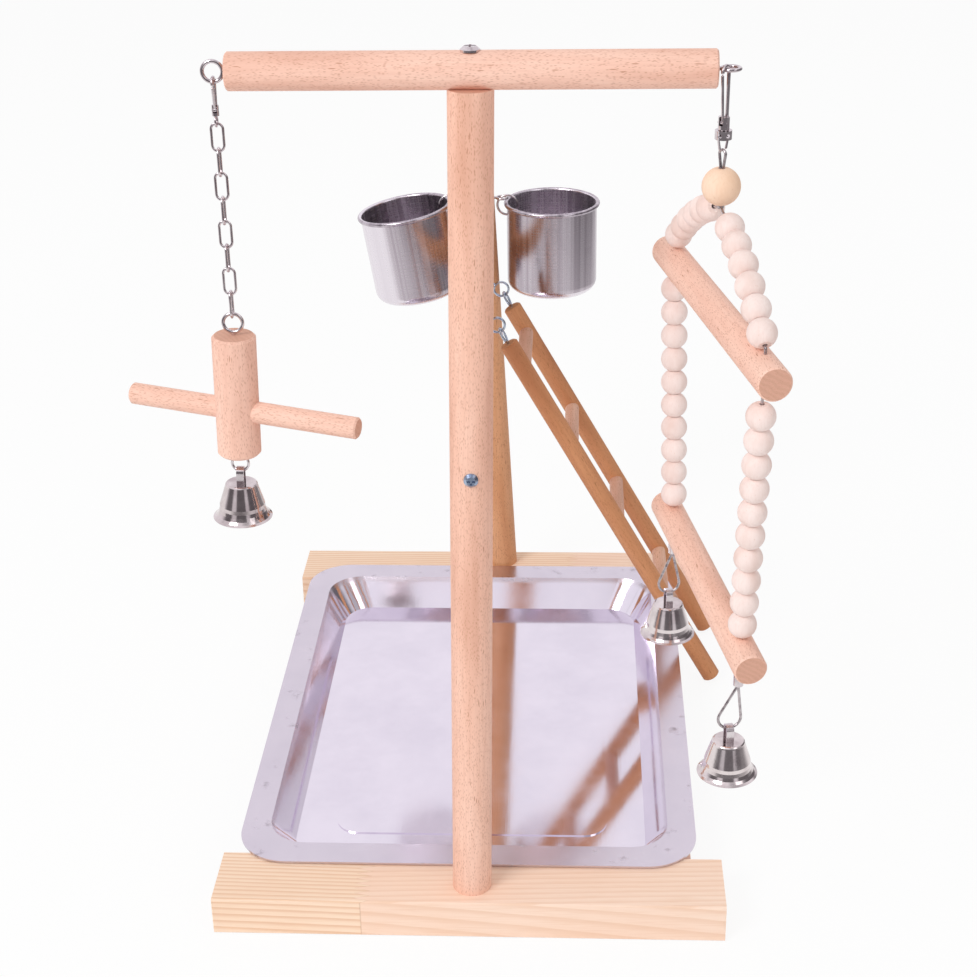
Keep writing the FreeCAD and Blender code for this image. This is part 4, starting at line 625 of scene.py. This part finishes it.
# Each dowel's finish, and a seed that gives it its own pattern.
DOWELS = {
    "front_post": (POST_BEECH, 0.0),
    "crossbar": (LIGHT_BEECH, 0.3),
    "toy_block": (LIGHT_BEECH, 0.7),
    "toy_cross_perch": (LIGHT_BEECH, 1.1),
    "upper_swing_bar": (LIGHT_BEECH, 1.7),
    "lower_swing_bar": (LIGHT_BEECH, 2.3),
    "left_side_rail": (LIGHT_BEECH, 2.9),
    "right_side_rail": (LIGHT_BEECH, 3.4),
    "rear_post": (WARM_BEECH, 4.1),
    "bridge_perch": (WARM_BEECH, 4.7),
    "near_ladder_rail": (LADDER_BEECH, 5.3),
    "far_ladder_rail": (LADDER_BEECH, 5.9),
}


def finish_wood():
    for name, (finish, seed) in DOWELS.items():
        dress(beech(name + "_beech", middle(name), long_axis(name), *finish, seed), name)
    across = (middle("far_ladder_rail") - middle("near_ladder_rail")).normalized()
    dress(beech("rung_beech", middle("ladder_rungs"), across, *RUNG_BEECH, RUNG_SEED), "ladder_rungs")

    front = pine("front_pine", middle("front_base_batten"), joint_place=-0.056, tilt=(0.03, -0.05),
                 pith=((0.09, 0.05), (-0.11, 0.07)), seed=0.0)
    rear = pine("rear_pine", middle("rear_base_batten"), joint_place=0.062, tilt=(-0.04, 0.05),
                pith=((-0.1, 0.06), (0.09, 0.06)), seed=5.0)
    dress(front, "front_base_batten")
    dress(rear, "rear_base_batten")

    dress(bead_wood("string_beads", BEAD_TONES, scale=90.0, end_turn=0.0),
          "upper_string_beads", "lower_string_beads")
    dress(bead_wood("top_bead", TOP_BEAD_TONES, scale=60.0, end_turn=0.4), "swing_top_bead")


LEFT_CUP_TILT = math.radians(-9.0)
CABLE_GRAIN = (500.0, 500.0, 2600.0)
NICKEL = (srgb(226, 218, 220), srgb(196, 184, 188))        # bright, dull
BELL_NICKEL = (srgb(228, 218, 218), srgb(188, 174, 176))
ZINC = (srgb(178, 192, 212), srgb(130, 146, 176))
EYE_ZINC = (srgb(196, 204, 216), srgb(150, 160, 178))
CABLE_STEEL = (srgb(206, 198, 200), srgb(150, 140, 144))


def finish_metal():
    """Runs after finish_wood: what no other finish has dressed is nickel."""
    dress(tray_steel(), "tray")
    dress(cup_steel("right_cup_steel", "right_cup", 0.0), "right_cup")
    dress(cup_steel("left_cup_steel", "left_cup", LEFT_CUP_TILT), "left_cup")
    nickel = metal("nickel", *NICKEL, rough=0.16, blotch=120.0, pits=0.5)
    bells = metal("bell_nickel", *BELL_NICKEL, rough=0.13, blotch=70.0, pits=0.8)
    zinc = metal("zinc", *ZINC, rough=0.26, blotch=260.0, pits=1.0)
    eye_zinc = metal("eye_zinc", *EYE_ZINC, rough=0.22, blotch=200.0, pits=0.6)
    cable = metal("cable_steel", *CABLE_STEEL, rough=0.3, blotch=400.0,
                  grain=CABLE_GRAIN, grain_strength=0.5)
    dress(cable, "swing_cable", "lower_cables")
    dress(zinc, "bridge_screws", "base_screws")
    dress(eye_zinc, "ladder_perch_eyes", "ladder_rail_eyes")
    dress(bells, "toy_bell", "near_bell", "far_bell")
    for name in NODES:
        if name not in DRESSED:
            dress(nickel, name)


bpy.context.scene.view_settings.view_transform = "Standard"
make_camera()
make_studio()
finish_wood()
finish_metal()
